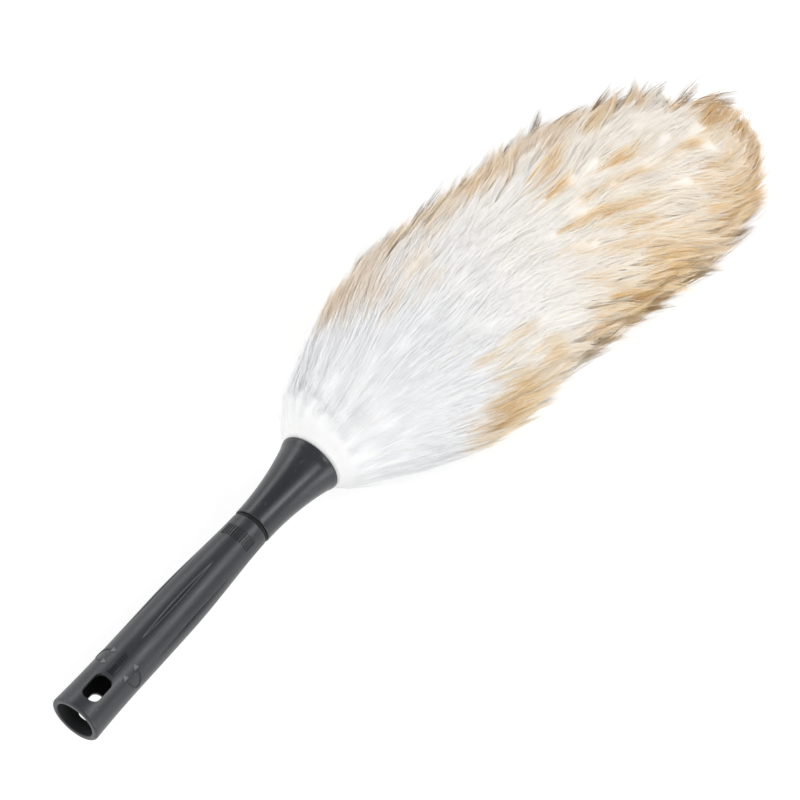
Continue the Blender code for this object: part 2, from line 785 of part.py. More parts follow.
def make_washer(parent, finish):
    start = WEB_START - GAP - WASHER_THICKNESS
    outline = (
        (start, SCREW_HOLE),
        (start, WASHER_RADIUS),
        (start + WASHER_THICKNESS, WASHER_RADIUS),
        (start + WASHER_THICKNESS, SCREW_HOLE),
    )
    return new_object("core_washer", turned(outline, WASHER_STEPS), parent, finish)


def pelt_bore(distance):
    """Inner radius of the sleeve: wide over the collar's tube, then close round the core."""
    wide = TUBE_RADIUS + GAP
    share = min(max((distance - TUBE_END - GAP) / PELT_STEP_LENGTH, 0.0), 1.0)
    return wide + (PELT_BORE - wide) * share * share * (3.0 - 2.0 * share)


def pelt_ring(distance, radius):
    """A ring of the sleeve's outside, with the valley of its seam at the bottom."""

    def shape(angle):
        down = abs(math.remainder(angle - 3 * math.pi / 2, math.tau)) < math.pi / FINE_STEPS
        here = radius - SEAM_DEPTH if down else radius
        return here * math.cos(angle), here * math.sin(angle)

    return ring_at(distance, radius, shape=shape)


def pelt_distances():
    steps = between(PELT_START, TUBE_END + GAP, 2)
    steps += between(TUBE_END + GAP, TUBE_END + GAP + PELT_STEP_LENGTH, 4)[1:]
    return steps + between(BEND_START, CORE_END - CORE_END_ROUND, BEND_STEPS)


def pelt_cap(angle, thickness):
    """Distance and radius on the sleeve's closed end, this far outside the core's gap."""
    reach = CORE_END - CORE_END_ROUND + (CORE_END_ROUND + GAP + thickness) * math.sin(angle)
    return reach, PELT_BORE - CORE_END_ROUND + (CORE_END_ROUND + thickness) * math.cos(angle)


def make_pelt(parent, finish):
    rows = [[middle_line(CORE_END + GAP)[0]]]
    rows += [ring_at(*pelt_cap(angle, 0.0)) for angle in reversed(cap_angles())]
    rows += [ring_at(d, pelt_bore(d)) for d in reversed(pelt_distances())]
    rows += [pelt_ring(d, pelt_bore(d) + PELT_THICKNESS) for d in pelt_distances()]
    rows += [ring_at(*pelt_cap(angle, PELT_THICKNESS)) for angle in cap_angles()]
    rows.append([middle_line(PELT_END)[0]])
    return new_object("pelt_sleeve", skin(rows), parent, finish)


def make_seam(parent, finish):
    """One zigzag thread along the valley at the bottom of the sleeve."""
    start = TUBE_END + GAP + PELT_STEP_LENGTH
    end = CORE_END - CORE_END_ROUND - SEAM_END_MARGIN
    stitches = round((end - start) / SEAM_STITCH)
    depth = PELT_BORE + PELT_THICKNESS - SEAM_THREAD - SEAM_BELOW_SKIN
    points = []
    for stitch in range(2 * stitches + 1):
        place, side = middle_line(start + (end - start) * stitch / (2 * stitches))
        across = SEAM_HALF_WIDTH if stitch % 2 else -SEAM_HALF_WIDTH
        points.append(place + side * across - Vector((0.0, 0.0, depth)))
    return tube_object("seam_thread", points, SEAM_THREAD, parent, finish, 0)


def make_tie(parent, finish):
    """Twine wound side by side round the sleeve, over the collar's tube."""
    radius = TUBE_RADIUS + GAP + PELT_THICKNESS + GAP + TIE_RADIUS
    pitch = 2 * TIE_RADIUS + TIE_SPACE
    start = TUBE_END - TIE_FROM_TUBE_END - TIE_RADIUS - TIE_TURNS * pitch
    points = []
    for step in range(TIE_STEPS * TIE_TURNS + 1):
        angle = math.tau * step / TIE_STEPS
        x = start + pitch * angle / math.tau
        points.append(Vector((x, radius * math.sin(angle), radius * math.cos(angle))))
    return tube_object("neck_tie", points, TIE_RADIUS, parent, finish)


def smooth_step(low, high, value):
    share = min(max((value - low) / (high - low), 0.0), 1.0)
    return share * share * (3.0 - 2.0 * share)


def wool_outline_at(share):
    """The wool's radius and side shift, on a smooth curve through its outline."""
    places, *columns = np.array(WOOL_OUTLINE).T
    row = min(int(np.searchsorted(places, share, "right")), len(places) - 1) - 1
    width = places[row + 1] - places[row]
    step = (share - places[row]) / width
    found = []
    for values in columns:
        slopes = np.gradient(values, places) * width
        start, end = values[row], values[row + 1]
        turn = step * (1.0 - step)
        found.append(
            start
            + (end - start) * smooth_step(0.0, 1.0, step)
            + turn * (1.0 - step) * slopes[row]
            - turn * step * slopes[row + 1]
        )
    return WOOL_RADIUS * float(found[0]), WOOL_RADIUS * float(found[1])


def lock_rise(distance, angle, radius):
    """How high the locks stand at a distance along the wool and an angle round it, from 0
    between locks to 1 at a lock's peak."""
    highest = 0.0
    last_row = math.floor(distance / LOCK_SPACE)
    near_column = round(angle * LOCKS_ROUND / math.tau)
    for row in range(last_row - 2, last_row + 1):
        for column in range(near_column - 2, near_column + 3):
            number = column % LOCKS_ROUND
            stray = LOCK_STRAY * math.sin(LOCK_STRAY_BY_ROW * row + LOCK_STRAY_BY_COLUMN * number)
            past = distance - (row + 0.5 * (number % 2) + stray) * LOCK_SPACE
            along = past / LOCK_LENGTH
            rise = min(along / LOCK_PEAK, (1.0 - along) / (1.0 - LOCK_PEAK))
            turn = math.tau * column / LOCKS_ROUND
            across = (angle - turn) * radius + LOCK_LEAN * math.cos(turn) * past
            if rise > 0.0 and abs(across) < LOCK_HALF_WIDTH:
                highest = max(highest, rise * (1.0 - (across / LOCK_HALF_WIDTH) ** 2))
    return highest


def lock_dip(share, angle, radius):
    """How far the wool dips below its outline here: nothing at a lock's peak, most between
    locks, and nothing near the neck or where the wool lies on the floor."""
    start = LOCKS_START - LOCKS_SOONER * math.cos(angle)
    loose = smooth_step(start, start + LOCKS_COME, share)
    free = smooth_step(LOCKS_GONE, LOCKS_FADE, math.sin(angle))
    return LOCK_DEPTH * (1.0 - lock_rise(share * WOOL_LENGTH, angle, radius)) * loose * free


def wool_section(share):
    """The wool's cross-section: round above, settled a little, and pressed flat on the floor."""
    radius, shift = wool_outline_at(share)
    full = radius / WOOL_RADIUS
    top = radius * (1.0 - WOOL_TOP_SETTLE * full**2)
    blend = radius**WOOL_BELLY_BLEND + WOOL_BELLY_DEPTH**WOOL_BELLY_BLEND
    belly = radius * WOOL_BELLY_DEPTH / blend ** (1 / WOOL_BELLY_BLEND)
    power = 2.0 / (2.0 + WOOL_BELLY_SQUARENESS * full**2)

    def shape(angle):
        across, up = math.cos(angle), math.sin(angle)
        keep = 1.0 - lock_dip(share, angle, radius) / WOOL_RADIUS
        if up >= 0.0:
            return shift + radius * across * keep, top * up * keep
        side = math.copysign(abs(across) ** power, across)
        return shift + radius * side * keep, max(-belly * abs(up) ** power * keep, -AXIS_HEIGHT)

    return shape


def wool_rows():
    """Rings from the tip of the bore back into the collar, and forward over the outside."""
    start = COLLAR_END - WOOL_IN_COLLAR
    rows = [[middle_line(PELT_END + WOOL_BORE_EXTRA)[0]]]
    for angle in reversed(cap_angles()):
        reach, bore = pelt_cap(angle, PELT_THICKNESS)
        rows.append(ring_at(reach + WOOL_BORE_EXTRA, bore + WOOL_BORE_EXTRA, WOOL_BORE_SIDES))
    bore_steps = [start, *(d for d in pelt_distances() if d > start)]
    for d in reversed(bore_steps):
        rows.append(ring_at(d, pelt_bore(d) + PELT_THICKNESS + WOOL_BORE_EXTRA, WOOL_BORE_SIDES))
    for d in between(start, COLLAR_END, 3):
        rows.append(ring_at(d, collar_radius(d) - BELL_WALL - GAP, WOOL_SIDES))
    neck = [outline_row[0] for outline_row in WOOL_OUTLINE[:WOOL_NECK_ROWS]]
    last = WOOL_OUTLINE[-2][0]
    steps = round((last - neck[-1]) * WOOL_LENGTH / WOOL_ROW_LENGTH)
    for share in neck + between(neck[-1], last, steps)[1:]:
        rows.append(ring_at(COLLAR_END + WOOL_LENGTH * share, None, WOOL_SIDES, wool_section(share)))
    rows.append([middle_line(WOOL_END)[0]])
    return rows


def make_wool(parent, finish):
    return new_object("wool_pile", skin(wool_rows()), parent, finish)


def settle(root):
    """Moves the duster so that its box's bottom centre is at the world's origin."""
    bpy.context.view_layer.update()
    view = bpy.context.evaluated_depsgraph_get()
    low, high = Vector((math.inf,) * 3), Vector((-math.inf,) * 3)
    for thing in bpy.data.objects:
        if thing.type == "EMPTY" or thing.hide_render:
            continue
        shown = thing.evaluated_get(view)
        mesh = shown.to_mesh()
        for vertex in mesh.vertices:
            point = thing.matrix_world @ vertex.co
            low = Vector(map(min, low, point))
            high = Vector(map(max, high, point))
        shown.to_mesh_clear()
    middle = (low + high) / 2
    root.location = (-middle.x, -middle.y, -low.z)
    print("butt centre at", [round(value, 6) for value in root.location])
    print("size", [round(value, 6) for value in high - low])


def build():
    clear_scene()
    charcoal = material("charcoal plastic", (0.040, 0.041, 0.045), 0.42)
    black = material("black rubber", (0.016, 0.016, 0.018), 0.60)
    nylon = material("natural nylon", (0.62, 0.60, 0.54), 0.45)
    zinc = material("zinc plated steel", (0.66, 0.66, 0.68), 0.32, 1.0)
    leather = material("sheepskin leather", (0.70, 0.60, 0.45), 0.75)
    thread = material("sewing thread", (0.80, 0.77, 0.70), 0.80)
    twine = material("waxed twine", (0.62, 0.52, 0.36), 0.70)
    wool = material("lambswool", (0.88, 0.85, 0.79), 0.95)
    duster = new_empty("duster")
    ring_frame = new_empty("ring_frame", duster, (RING_START, 0.0, 0.0))
    head_frame = new_empty("head_frame", ring_frame, (COLLAR_START - RING_START, 0.0, 0.0))
    make_grip(duster, charcoal)
    make_ring(ring_frame, black)
    make_collar(head_frame, charcoal)
    make_core(head_frame, nylon)
    make_screw(head_frame, zinc)
    make_washer(head_frame, zinc)
    make_pelt(head_frame, leather)
    make_seam(head_frame, thread)
    make_tie(head_frame, twine)
    make_wool(head_frame, wool)
    settle(duster)


build()
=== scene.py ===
"""Looks of the lambswool duster: a moulded handle and collar, and combed wool with tan tips.

Metres, +Z up. Each piece is shaped around the handle's axis with the butt at x = 0, and then
moved to the part's place on the floor. The hang slot faces up and the head bends towards -Y.
"""

import math

import bmesh
import bpy
import numpy as np
from mathutils import Matrix, Vector, noise


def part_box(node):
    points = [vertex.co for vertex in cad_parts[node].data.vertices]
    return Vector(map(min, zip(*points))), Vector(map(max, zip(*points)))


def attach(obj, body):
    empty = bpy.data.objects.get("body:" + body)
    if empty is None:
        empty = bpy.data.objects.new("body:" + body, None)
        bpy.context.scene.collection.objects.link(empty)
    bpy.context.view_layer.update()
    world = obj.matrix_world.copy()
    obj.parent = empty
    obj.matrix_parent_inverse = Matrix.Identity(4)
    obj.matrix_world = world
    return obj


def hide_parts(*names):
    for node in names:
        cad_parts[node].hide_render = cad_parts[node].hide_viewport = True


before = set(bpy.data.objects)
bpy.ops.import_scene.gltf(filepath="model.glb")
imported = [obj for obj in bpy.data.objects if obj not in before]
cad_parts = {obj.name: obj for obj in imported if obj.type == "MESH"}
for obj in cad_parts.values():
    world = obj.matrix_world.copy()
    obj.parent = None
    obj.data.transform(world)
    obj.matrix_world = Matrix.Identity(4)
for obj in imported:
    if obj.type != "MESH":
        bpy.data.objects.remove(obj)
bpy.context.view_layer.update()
GRIP_LOW, GRIP_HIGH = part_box("grip")
BUTT = Vector((GRIP_LOW.x, (GRIP_LOW.y + GRIP_HIGH.y) / 2, (GRIP_LOW.z + GRIP_HIGH.z) / 2))
SEED = 7

# Fits
GAP = 0.0003
THREAD_GAP = 0.0003
FLANK_GAP = 0.0001
OVERLAP = 0.0003
CUT_BEYOND = 0.004

# Handle grip
GRIP_LENGTH = 0.1676
BUTT_RADIUS = 0.0169
BELLY_RADIUS = 0.01585
NECK_RADIUS = 0.01265
FLARE_LENGTH = 0.046
TAPER_LENGTH = 0.080
TAPER_POWER = 1.6
RIM_ROUND = 0.0016
MOUTH_ROUND = 0.0009
END_ROUND = 0.0005
SOCKET_RADIUS = 0.0131
SOCKET_DEPTH = 0.046
SOCKET_STEP = 0.005
SOCKET_RIBS = 4
SOCKET_RIB_HEIGHT = 0.0005
SOCKET_RIB_HALF_WIDTH = 0.0009
SOCKET_RIB_START = 0.002
POLE_THREAD_DEPTH = 0.026

# Screw thread of the pole and of the head
THREAD_RADIUS = 0.009525
THREAD_ROOT = 0.0080
THREAD_PITCH = 0.00508
THREAD_CREST = 0.0013
THREAD_FLANK = 0.0007
HEAD_THREAD_LENGTH = 0.0130
HEAD_THREAD_RECESS = 0.0040
THREAD_LEAD_IN = 0.0012

# Hang slot, and its cutter: how far it stands off the wall and how far it spreads there, both in
# widths of the slot's eased edge
SLOT_MIDDLE = 0.0190
SLOT_LENGTH = 0.0188
SLOT_WIDTH = 0.0116
SLOT_CORNER = 0.0046
SLOT_EDGE = 0.0006
SLOT_FLARE = ((3.0, 2.2), (0.2, 0.75), (-0.5, 0.22), (-1.0, 0.0))

# Creases round the grip
CREASE_COUNT = 6
CREASE_START = 0.058
CREASE_END = 0.1305
CREASE_HALF_WIDTH = 0.0016
CREASE_DEPTH = 0.0011
CREASE_POWER = 0.8
CREASE_FLOOR = 0.16
CREASE_SHOULDER = 0.0034
CREASE_SHOULDER_DEPTH = 0.00022
CREASE_PULL = 0.62
CREASE_PULL_RISE = 4.0

# Raised marks
MARK_HEIGHT = 0.0004
MARK_ROOT = 0.0006
MARK_EDGE = 0.00016
MARK_LONG_EDGE = 0.0012
POLE_MARK_START = 0.0308
POLE_MARK_SHAFT = 0.0073
POLE_MARK_WIDTH = 0.0052
POLE_MARK_RIBS = 4
POLE_MARK_RIB_WIDTH = 0.0038
POLE_MARK_RIB_STEP = 0.0021
POLE_MARK_RIB_THICKNESS = 0.0010
POLE_MARK_RIB_SLANT = 0.0004
ARROW_MIDDLE = 0.0400
ARROW_HALF_SPREAD = 0.0048
ARROW_NEAR = 0.0064
ARROW_REACH = 0.0205
ARROW_LINE = 0.0012
ARROW_LINE_HEIGHT = MARK_HEIGHT * 0.8
ARROW_HEAD_WIDTH = 0.0042
ARROW_HEAD_LENGTH = 0.0036
ARROW_STEPS = 28
RIB_COUNT = 13
RIB_STEP = math.radians(8.0)
RIB_FROM_END = 0.0172
RIB_LENGTH = 0.0085
RIB_WIDTH = 0.0009

# Ring between the grip and the collar
RING_WIDTH = 0.0020
RING_RADIUS = 0.0117
RING_RIDGE_RADIUS = 0.0124
RING_RIDGE_WIDTH = 0.0006
RING_EDGE = 0.00015

# Bell collar
COLLAR_LENGTH = 0.0593
COLLAR_NECK_RADIUS = 0.0129
LIP_RADIUS = 0.0212
BELL_POWER = 2.1
BELL_WALL = 0.0022
LIP_LENGTH = 0.0062
LIP_STEP = 0.0004
LIP_RISE_LENGTH = 8 * LIP_STEP
LIP_FALL = 0.3
LIP_ROUND = 0.0010
COLLAR_EDGE_ROUND = 0.0007
SPIGOT_LENGTH = 0.0195
SPIGOT_BORE = 0.0052
SPIGOT_PLAIN_TIP = 0.0020
SPIGOT_CHAMFER = 0.0006
SPIGOT_BORE_CHAMFER = 0.0004
WEB_BACK = 0.0042
WEB_FRONT = 0.0018
SCREW_HOLE = 0.0023
SOCKET_TUBE_LENGTH = 0.0380
SOCKET_TUBE_WALL = 0.0020
POCKET_START = 0.0180
POCKET_CORNER = 0.0008

# Core, sleeve, seam and twine inside the head
CORE_RADIUS = 0.0060
CORE_LENGTH = 0.392
CORE_END_ROUND = 0.0055
BEND_START = 0.300
BEND_RADIUS = 0.640
PELT_THICKNESS = 0.0018
PELT_STEP_LENGTH = 0.010
PELT_GRAIN = 0.00012
PELT_WAVES = (300.0, 6.0)
SEAM_DEPTH = 0.0012
SEAM_HALF_ANGLE = 0.32
SEAM_STITCH = 0.0080
SEAM_HALF_WIDTH = 0.0009
SEAM_THREAD = 0.0003
SEAM_BELOW_SKIN = 0.0001
SEAM_END_MARGIN = 0.010
SEAM_TURN_POWER = 0.7
TIE_RADIUS = 0.0008
TIE_TURNS = 4
TIE_SPACE = 0.00045
TIE_FROM_TUBE_END = 0.0015
TIE_PLY_RADIUS = 0.00043
TIE_PLY_TURNS = 6

# Wool, as the part has it
WOOL_LENGTH = 0.395
WOOL_RADIUS = 0.0735
WOOL_IN_COLLAR = 0.0165
WOOL_TOP_SETTLE = 0.10
WOOL_BELLY_DEPTH = 0.0445
WOOL_BELLY_BLEND = 8
WOOL_BELLY_SQUARENESS = 0.8
WOOL_BORE_EXTRA = 0.0004
AXIS_HEIGHT = 0.042

# Its outline: share of its length, and as shares of its largest radius its own radius and how
# far its middle stands off the duster's middle line towards +Y
WOOL_OUTLINE = np.array(
    (
        (0.003, 0.290, 0.0),
        (0.012, 0.345, 0.0),
        (0.032, 0.425, 0.007),
        (0.070, 0.540, -0.007),
        (0.110, 0.655, -0.034),
        (0.160, 0.785, -0.061),
        (0.220, 0.905, -0.082),
        (0.290, 0.975, -0.082),
        (0.370, 0.990, -0.075),
        (0.450, 0.970, -0.061),
        (0.530, 0.970, -0.041),
        (0.610, 0.985, -0.014),
        (0.680, 0.970, 0.014),
        (0.750, 0.920, 0.027),
        (0.820, 0.855, 0.034),
        (0.880, 0.755, 0.034),
        (0.930, 0.615, 0.027),
        (0.968, 0.435, 0.020),
        (0.990, 0.250, 0.007),
        (1.000, 0.0, 0.0),
    )
)

# Its locks, which start side by side round it and lean towards the floor
LOCKS_ROUND = 22
LOCK_SPACE = 0.026
LOCK_LENGTH = 0.036
LOCK_HALF_WIDTH = 0.0095
LOCK_DEPTH = 0.0090
LOCK_PEAK = 0.70
LOCK_STRAY = 0.35
LOCK_STRAY_BY_ROW = 13.0
LOCK_STRAY_BY_COLUMN = 78.0
LOCK_LEAN = 0.45
LOCKS_START = 0.22
LOCKS_SOONER = 0.08
LOCKS_COME = 0.24
LOCKS_SHOWN = (-0.8, -0.3)

# Places that follow from the sizes above
RING_START = GRIP_LENGTH + GAP
COLLAR_START = RING_START + RING_WIDTH + GAP
COLLAR_END = COLLAR_START + COLLAR_LENGTH
SPIGOT_START = COLLAR_START - SPIGOT_LENGTH
THREAD_START = SPIGOT_START + SPIGOT_PLAIN_TIP
THREAD_END = THREAD_START + HEAD_THREAD_LENGTH
WEB_START = COLLAR_START - WEB_BACK
WEB_END = COLLAR_START + WEB_FRONT
TUBE_END = WEB_END + SOCKET_TUBE_LENGTH
TUBE_BORE = CORE_RADIUS + GAP
TUBE_RADIUS = TUBE_BORE + SOCKET_TUBE_WALL
CORE_START = WEB_END + GAP
CORE_END = CORE_START + CORE_LENGTH
PELT_START = COLLAR_START + POCKET_START + GAP
PELT_BORE = CORE_RADIUS + GAP
PELT_END = CORE_END + GAP + PELT_THICKNESS
GRIP_BORE = THREAD_ROOT + THREAD_GAP

# How finely the scene's pieces are faceted
TURN_STEPS = 192
THREAD_STEPS = 48
WOOL_SIDES = 120
WOOL_ROWS = 150
PELT_SIDES = 40

# Which bends are shaded sharp, in degrees, and how near to a surface a point is on it
BEND_SHARP = 35.0
GRIP_BEND_SHARP = 28.0
COLLAR_BEND_SHARP = 32.0
ON_SURFACE = 1e-5

# Moulded plastics: name, darkest and lightest colour, least and most roughness
PLASTICS = (
    ("charcoal plastic", (0.026, 0.028, 0.033), (0.036, 0.038, 0.044), 0.30, 0.42),
    ("collar plastic", (0.025, 0.027, 0.031), (0.035, 0.037, 0.042), 0.24, 0.34),
    # Painted shade: a darker copy of the grip's plastic for the pole mark, arrow tails and ribs
    ("dark mark plastic", (0.010, 0.010, 0.012), (0.016, 0.016, 0.018), 0.34, 0.46),
    # Painted highlight: a paler copy of the grip's plastic for the arrow heads
    ("rubbed plastic", (0.10, 0.10, 0.105), (0.16, 0.16, 0.165), 0.30, 0.40),
)
DUST_COLOUR = (0.13, 0.13, 0.135, 1.0)
# The painted shade of the plastic's bore, creases and lip edge: near black, and dull
HOLLOW_SHADE_COLOUR = (0.004, 0.004, 0.0045, 1.0)
HOLLOW_ROUGHNESS = 0.80

# Threads: darkest and lightest colour, and waves of their fibres to the metre
SEWING_THREAD_LOOKS = ((0.62, 0.58, 0.50), (0.84, 0.81, 0.74), 2600.0)
WAXED_TWINE_LOOKS = ((0.42, 0.33, 0.21), (0.68, 0.57, 0.40), 1900.0)

# Wool colours by how tan a fibre is, in two hues, and the painted cool shade near the collar
PINKISH_TAN = (
    (0.30, (0.920, 0.815, 0.695)),
    (0.65, (0.820, 0.655, 0.490)),
    (1.0, (0.690, 0.480, 0.310)),
)
GOLDEN_TAN = (
    (0.30, (0.905, 0.790, 0.610)),
    (0.65, (0.850, 0.645, 0.370)),
    (1.0, (0.740, 0.460, 0.170)),
)
PAINTED_COOL_SHADE = (0.940, 0.952, 0.972, 1.0)

# Studio: each soft lamp's name, azimuth and elevation in degrees, width, height and power; where
# the lamps aim and stand; the world's light, and its colours by height; and the floor's tones
SOFTBOXES = (
    ("left softbox", 78.0, 30.0, 1.5, 0.6, 7.2),
    ("right softbox", -58.0, 52.0, 1.5, 0.55, 11.5),
    ("fill softbox", 180.0, 36.0, 1.2, 1.2, 4.5),
    ("side softbox", 135.0, 10.0, 1.2, 0.6, 5.0),
    ("low softbox", -100.0, 8.0, 1.2, 0.6, 5.5),
)
LAMPS_AIM = (-0.05, 0.0, 0.04)
LAMP_DISTANCE = 1.7
WORLD_STRENGTH = 0.65
STUDIO_HEIGHTS = ((0.05, (1.0, 1.0, 1.0)), (0.45, (0.35, 0.35, 0.36)), (0.8, (0.10, 0.10, 0.11)))
FLOOR_HALF_WIDTH = 4.0
FLOOR_SEEN = (0.34, 0.34, 0.34)
FLOOR_LIT = (0.80, 0.80, 0.80)
FLOOR_GLOW = 0.72

# The camera's directions and lens, and its place from the butt
CAMERA_RIGHT = (0.5906, -0.7903, 0.1634)
CAMERA_UP = (0.6504, 0.5860, 0.4832)
CAMERA_BACK = (-0.4777, -0.1791, 0.8601)
CAMERA_FROM_BUTT = (-0.7602, -0.4137, 1.9134)
CAMERA_LENS = 160.09

# How dark the painted shade is in the plastic's hollows: its bore, its creases and its lip's edge;
# where it starts and how soon it is full, in shares of a crease's depth and of the lip's round
BORE_SHADE_FADE = 0.002
BORE_SHADE = 0.97
CREASE_SHADE = 0.85
LIP_SHADE = 0.55
CREASE_SHADE_FROM = 0.3
CREASE_SHADE_OVER = 0.5
LIP_SHADE_FROM = 1.6

# Where the small tufts of fibres are rooted: between which shares of the wool's length, how far
# apart, what part of that many stand round it, how far each strays in steps, and the share left
# out underneath
FIRST_ROOT = 0.006
LAST_ROOT = 0.985
TUFT_SPACING = 0.0068
TUFTS_ROUND = 0.9
FEWEST_TUFTS = 6
ROOT_STRAY_ROUND = 0.45
ROOT_STRAY_ALONG = 0.5
UNDERNEATH = -0.75
THINNED_UNDERNEATH = 0.55

# Tufts: their length and its spread, how much shorter they are towards the tip, and their radius
TUFT_LENGTH = 0.036
TUFT_LENGTHS = (0.80, 1.25)
TIP_TUFTS = (0.8, 1.0)
TIP_TUFTS_SHORTER = 0.20
TUFT_RADIUS = 0.0046

# The fringe at the sides and round the tip: between which shares of the length it comes, between
# which shares of the half width, and how loose and how wandering it is where the rest is close
FRINGE_ALONG = (0.12, 0.34)
FRINGE_ASIDE = (0.35, 0.95)
FRINGE_TIP = (0.90, 0.99)
FRINGE_LOOSE = 0.8
FRINGE_WANDER = 0.6

# How the tufts lie: how far they wander off the comb, how they lift off the surface, and how flat
# they are laid where the wool swells
WANDER_CLOSE = 0.020
WANDER_LOOSE = 0.085
LIFT_CLOSE = 0.02
LIFT_LOOSE = 0.03
LIFT_WANDER = 0.25
LAID_FLAT = 0.96
LAID_FLAT_LOOSE = 0.10
LAID_FLAT_FRINGE = 0.50
BEND_ASIDE = 0.07

# How far tips stand off the surface: always, and where the wool is loose by a mean and spread,
# least and most, of which these shares are taken
PROUD = 0.0002
PROUD_LOOSE = (0.0006, 0.0013)
PROUD_LIMITS = (-0.0020, 0.0045)
PROUD_SHARE = 0.40
PROUD_SHARE_FRINGE = 0.35

# How deep the roots lie: a share of a tuft's climb, but at least this far past the close wool's
# own depth, and at most so deep
ROOT_CLIMB = 0.85
ROOT_PAST_BODY = 0.0006
ROOT_PAST_BODY_LOOSE = 0.0010
ROOT_DEEPEST = 0.024

# How far a tuft's fibres gather to its tip: at the least, loose, in the fringe, and for each metre
# by which a tuft stands out
GATHER = 0.08
GATHER_LOOSE = 0.32
GATHER_FRINGE = 0.18
GATHER_BY_REACH = 32.0
GATHER_MOST = 0.88
GATHER_SPREAD = (0.60, 1.15)
GATHER_POWER = 0.9

# Fibres: how many, in how many pieces, how they taper, and how they lie in their tuft
FIBRES_IN_TUFT = 36
PIECES_OF_FIBRES = 10
FIBRE_CUTS = (0.38, 0.74)
FIBRE_SECTION = (1.15, 0.34, 1.0)
FIBRE_THICKNESS = 0.00024
FIBRE_THICKNESSES = (0.75, 1.25)
FIBRES_FINE_AT_NECK = 0.5
FIBRES_FINE_ALONG = (0.02, 0.25)
FIBRE_SWELL = (-0.35, 0.45)
FIBRE_TAPER = 0.78
FIBRE_TAPER_POWER = 1.6
FIBRE_LENGTHS = (0.74, 1.08)
TUFT_FULLNESS = 0.28
TUFT_FULLNESS_CLOSE = 0.15
FIBRE_STRAY = 0.009
FIBRE_STRAY_LESS_LOOSE = 0.4
CRIMP = 0.00045
CRIMP_CLOSE = 0.4
CRIMP_WAVES = (0.6, 1.7)
FLOOR_CLEARANCE = 0.0005

# Light on the fibres: how much each shades by its own shape, close and loose, and how far upwards
# the light on its end is turned
OWN_SHADE_CLOSE = 0.02
OWN_SHADE_LOOSE = 0.07
END_LIGHT = 0.60

# The close wool is lit like the fibres this far past the collar, outside this share of its lip
LIT_PAST_LIP = 0.002
LIT_OUTSIDE = 0.94

# How deep the close wool lies under the fibres: at the neck, farther on, and behind the sides'
# fringe, with the shares of the length where it goes from one to the other
BODY_INSET_NECK = 0.0002
BODY_INSET = 0.0028
BODY_SIDE_INSET = 0.0075
BODY_DEEPENS = (0.02, 0.30)
BODY_SIDE_DEEPENS = (0.22, 0.46)
BODY_BEND_SHARP = 60.0

# Rings of the close wool: the first and the last as shares of the length, how they crowd towards
# the neck, how far past them the tip's point is, and how far before its end the bore closes
FIRST_RING = 0.003
LAST_RING = 0.988
RINGS_CROWD = 1.15
TIP_PAST_RINGS = (0.0012, -0.0006, 0.0)
BORE_CLOSES = 0.006

# How tan shows: the share of a patch left under the wool, and between which heights it fades;
# how uneven it is; and the creamy tone of all the wool, along the duster and on its -Y side
TAN_BELOW = 0.50
TAN_HEIGHTS = (-0.020, 0.012)
TAN_UNEVEN = (0.85, 1.20)
TAN_STRAYS = 0.03
TAN_STRAY = 0.22
TAN_STRENGTH = 0.80
TAN_MOST = 1.1
CREAM = ((0.06, 0.30, 0.42), (0.12, 0.42, 0.50), (0.12, 0.56, 0.61))
CREAM_SIDE = 0.08
CREAM_SIDE_ACROSS = (0.02, -0.06)
CREAM_SIDE_ALONG = (0.36, 0.46)

# Tan underneath: its waves to the metre along and across, below which height, how much of the
# waves shows, and from where along the duster
UNDER_WAVES = (26.0, 60.0)
UNDER_HEIGHT = -0.012
UNDER_SHOWS = (0.05, 0.45)
UNDER_ALONG = (0.31, 0.36)

# Tan of single fibres: where on them it is read, how it comes and pales towards the tip, how it
# varies, which share stays nearly white and which is brown; the close wool's tan; and where the
# painted cool shade of the neck ends
TAN_READ_AT = 0.6
TAN_COMES = (0.16, 0.38)
TAN_PALES = (0.50, 1.0)
TAN_PALES_BY = 0.42
FIBRE_TAN = (0.70, 1.25)
WHITE_HAIRS = 0.10
WHITE_HAIRS_TAN = 0.30
BROWN_HAIRS = 0.006
BROWN_HAIRS_TAN = 0.75
BODY_TAN = 0.50
COOL_SHADE_ALONG = (0.45, 0.10)

# How far the combed wool fills the valleys between locks on top, and how much of the locks'
# relief still shows in the light on it
TOP_FILL = 0.70
FACING_UP = (0.1, 0.7)
LIT_LOCKS = 0.25

# The lobe of wool beside the collar's lip and the fold that ends it: shares of the wool's length,
# turns round it in radians, and how far the lobe stands out and the fold goes in
FOLD_PLACE = 0.092
FOLD_SLANT = 0.030
FOLD_TURNS = (-0.6, 2.2)
FOLD_COMES = (-1.1, -0.3)
FOLD_GOES = (2.5, 1.4)
FOLD_WIDTH = 0.0060
FOLD_DEPTH = 0.0013
LOBE_BEFORE_FOLD = 0.030
LOBE_WIDTH = 0.026
LOBE_HEIGHT = 0.0019

# The least radius that the dips are shares of, and the least share that they leave
LEAST_RADIUS = 0.004
LEAST_KEPT = 0.05

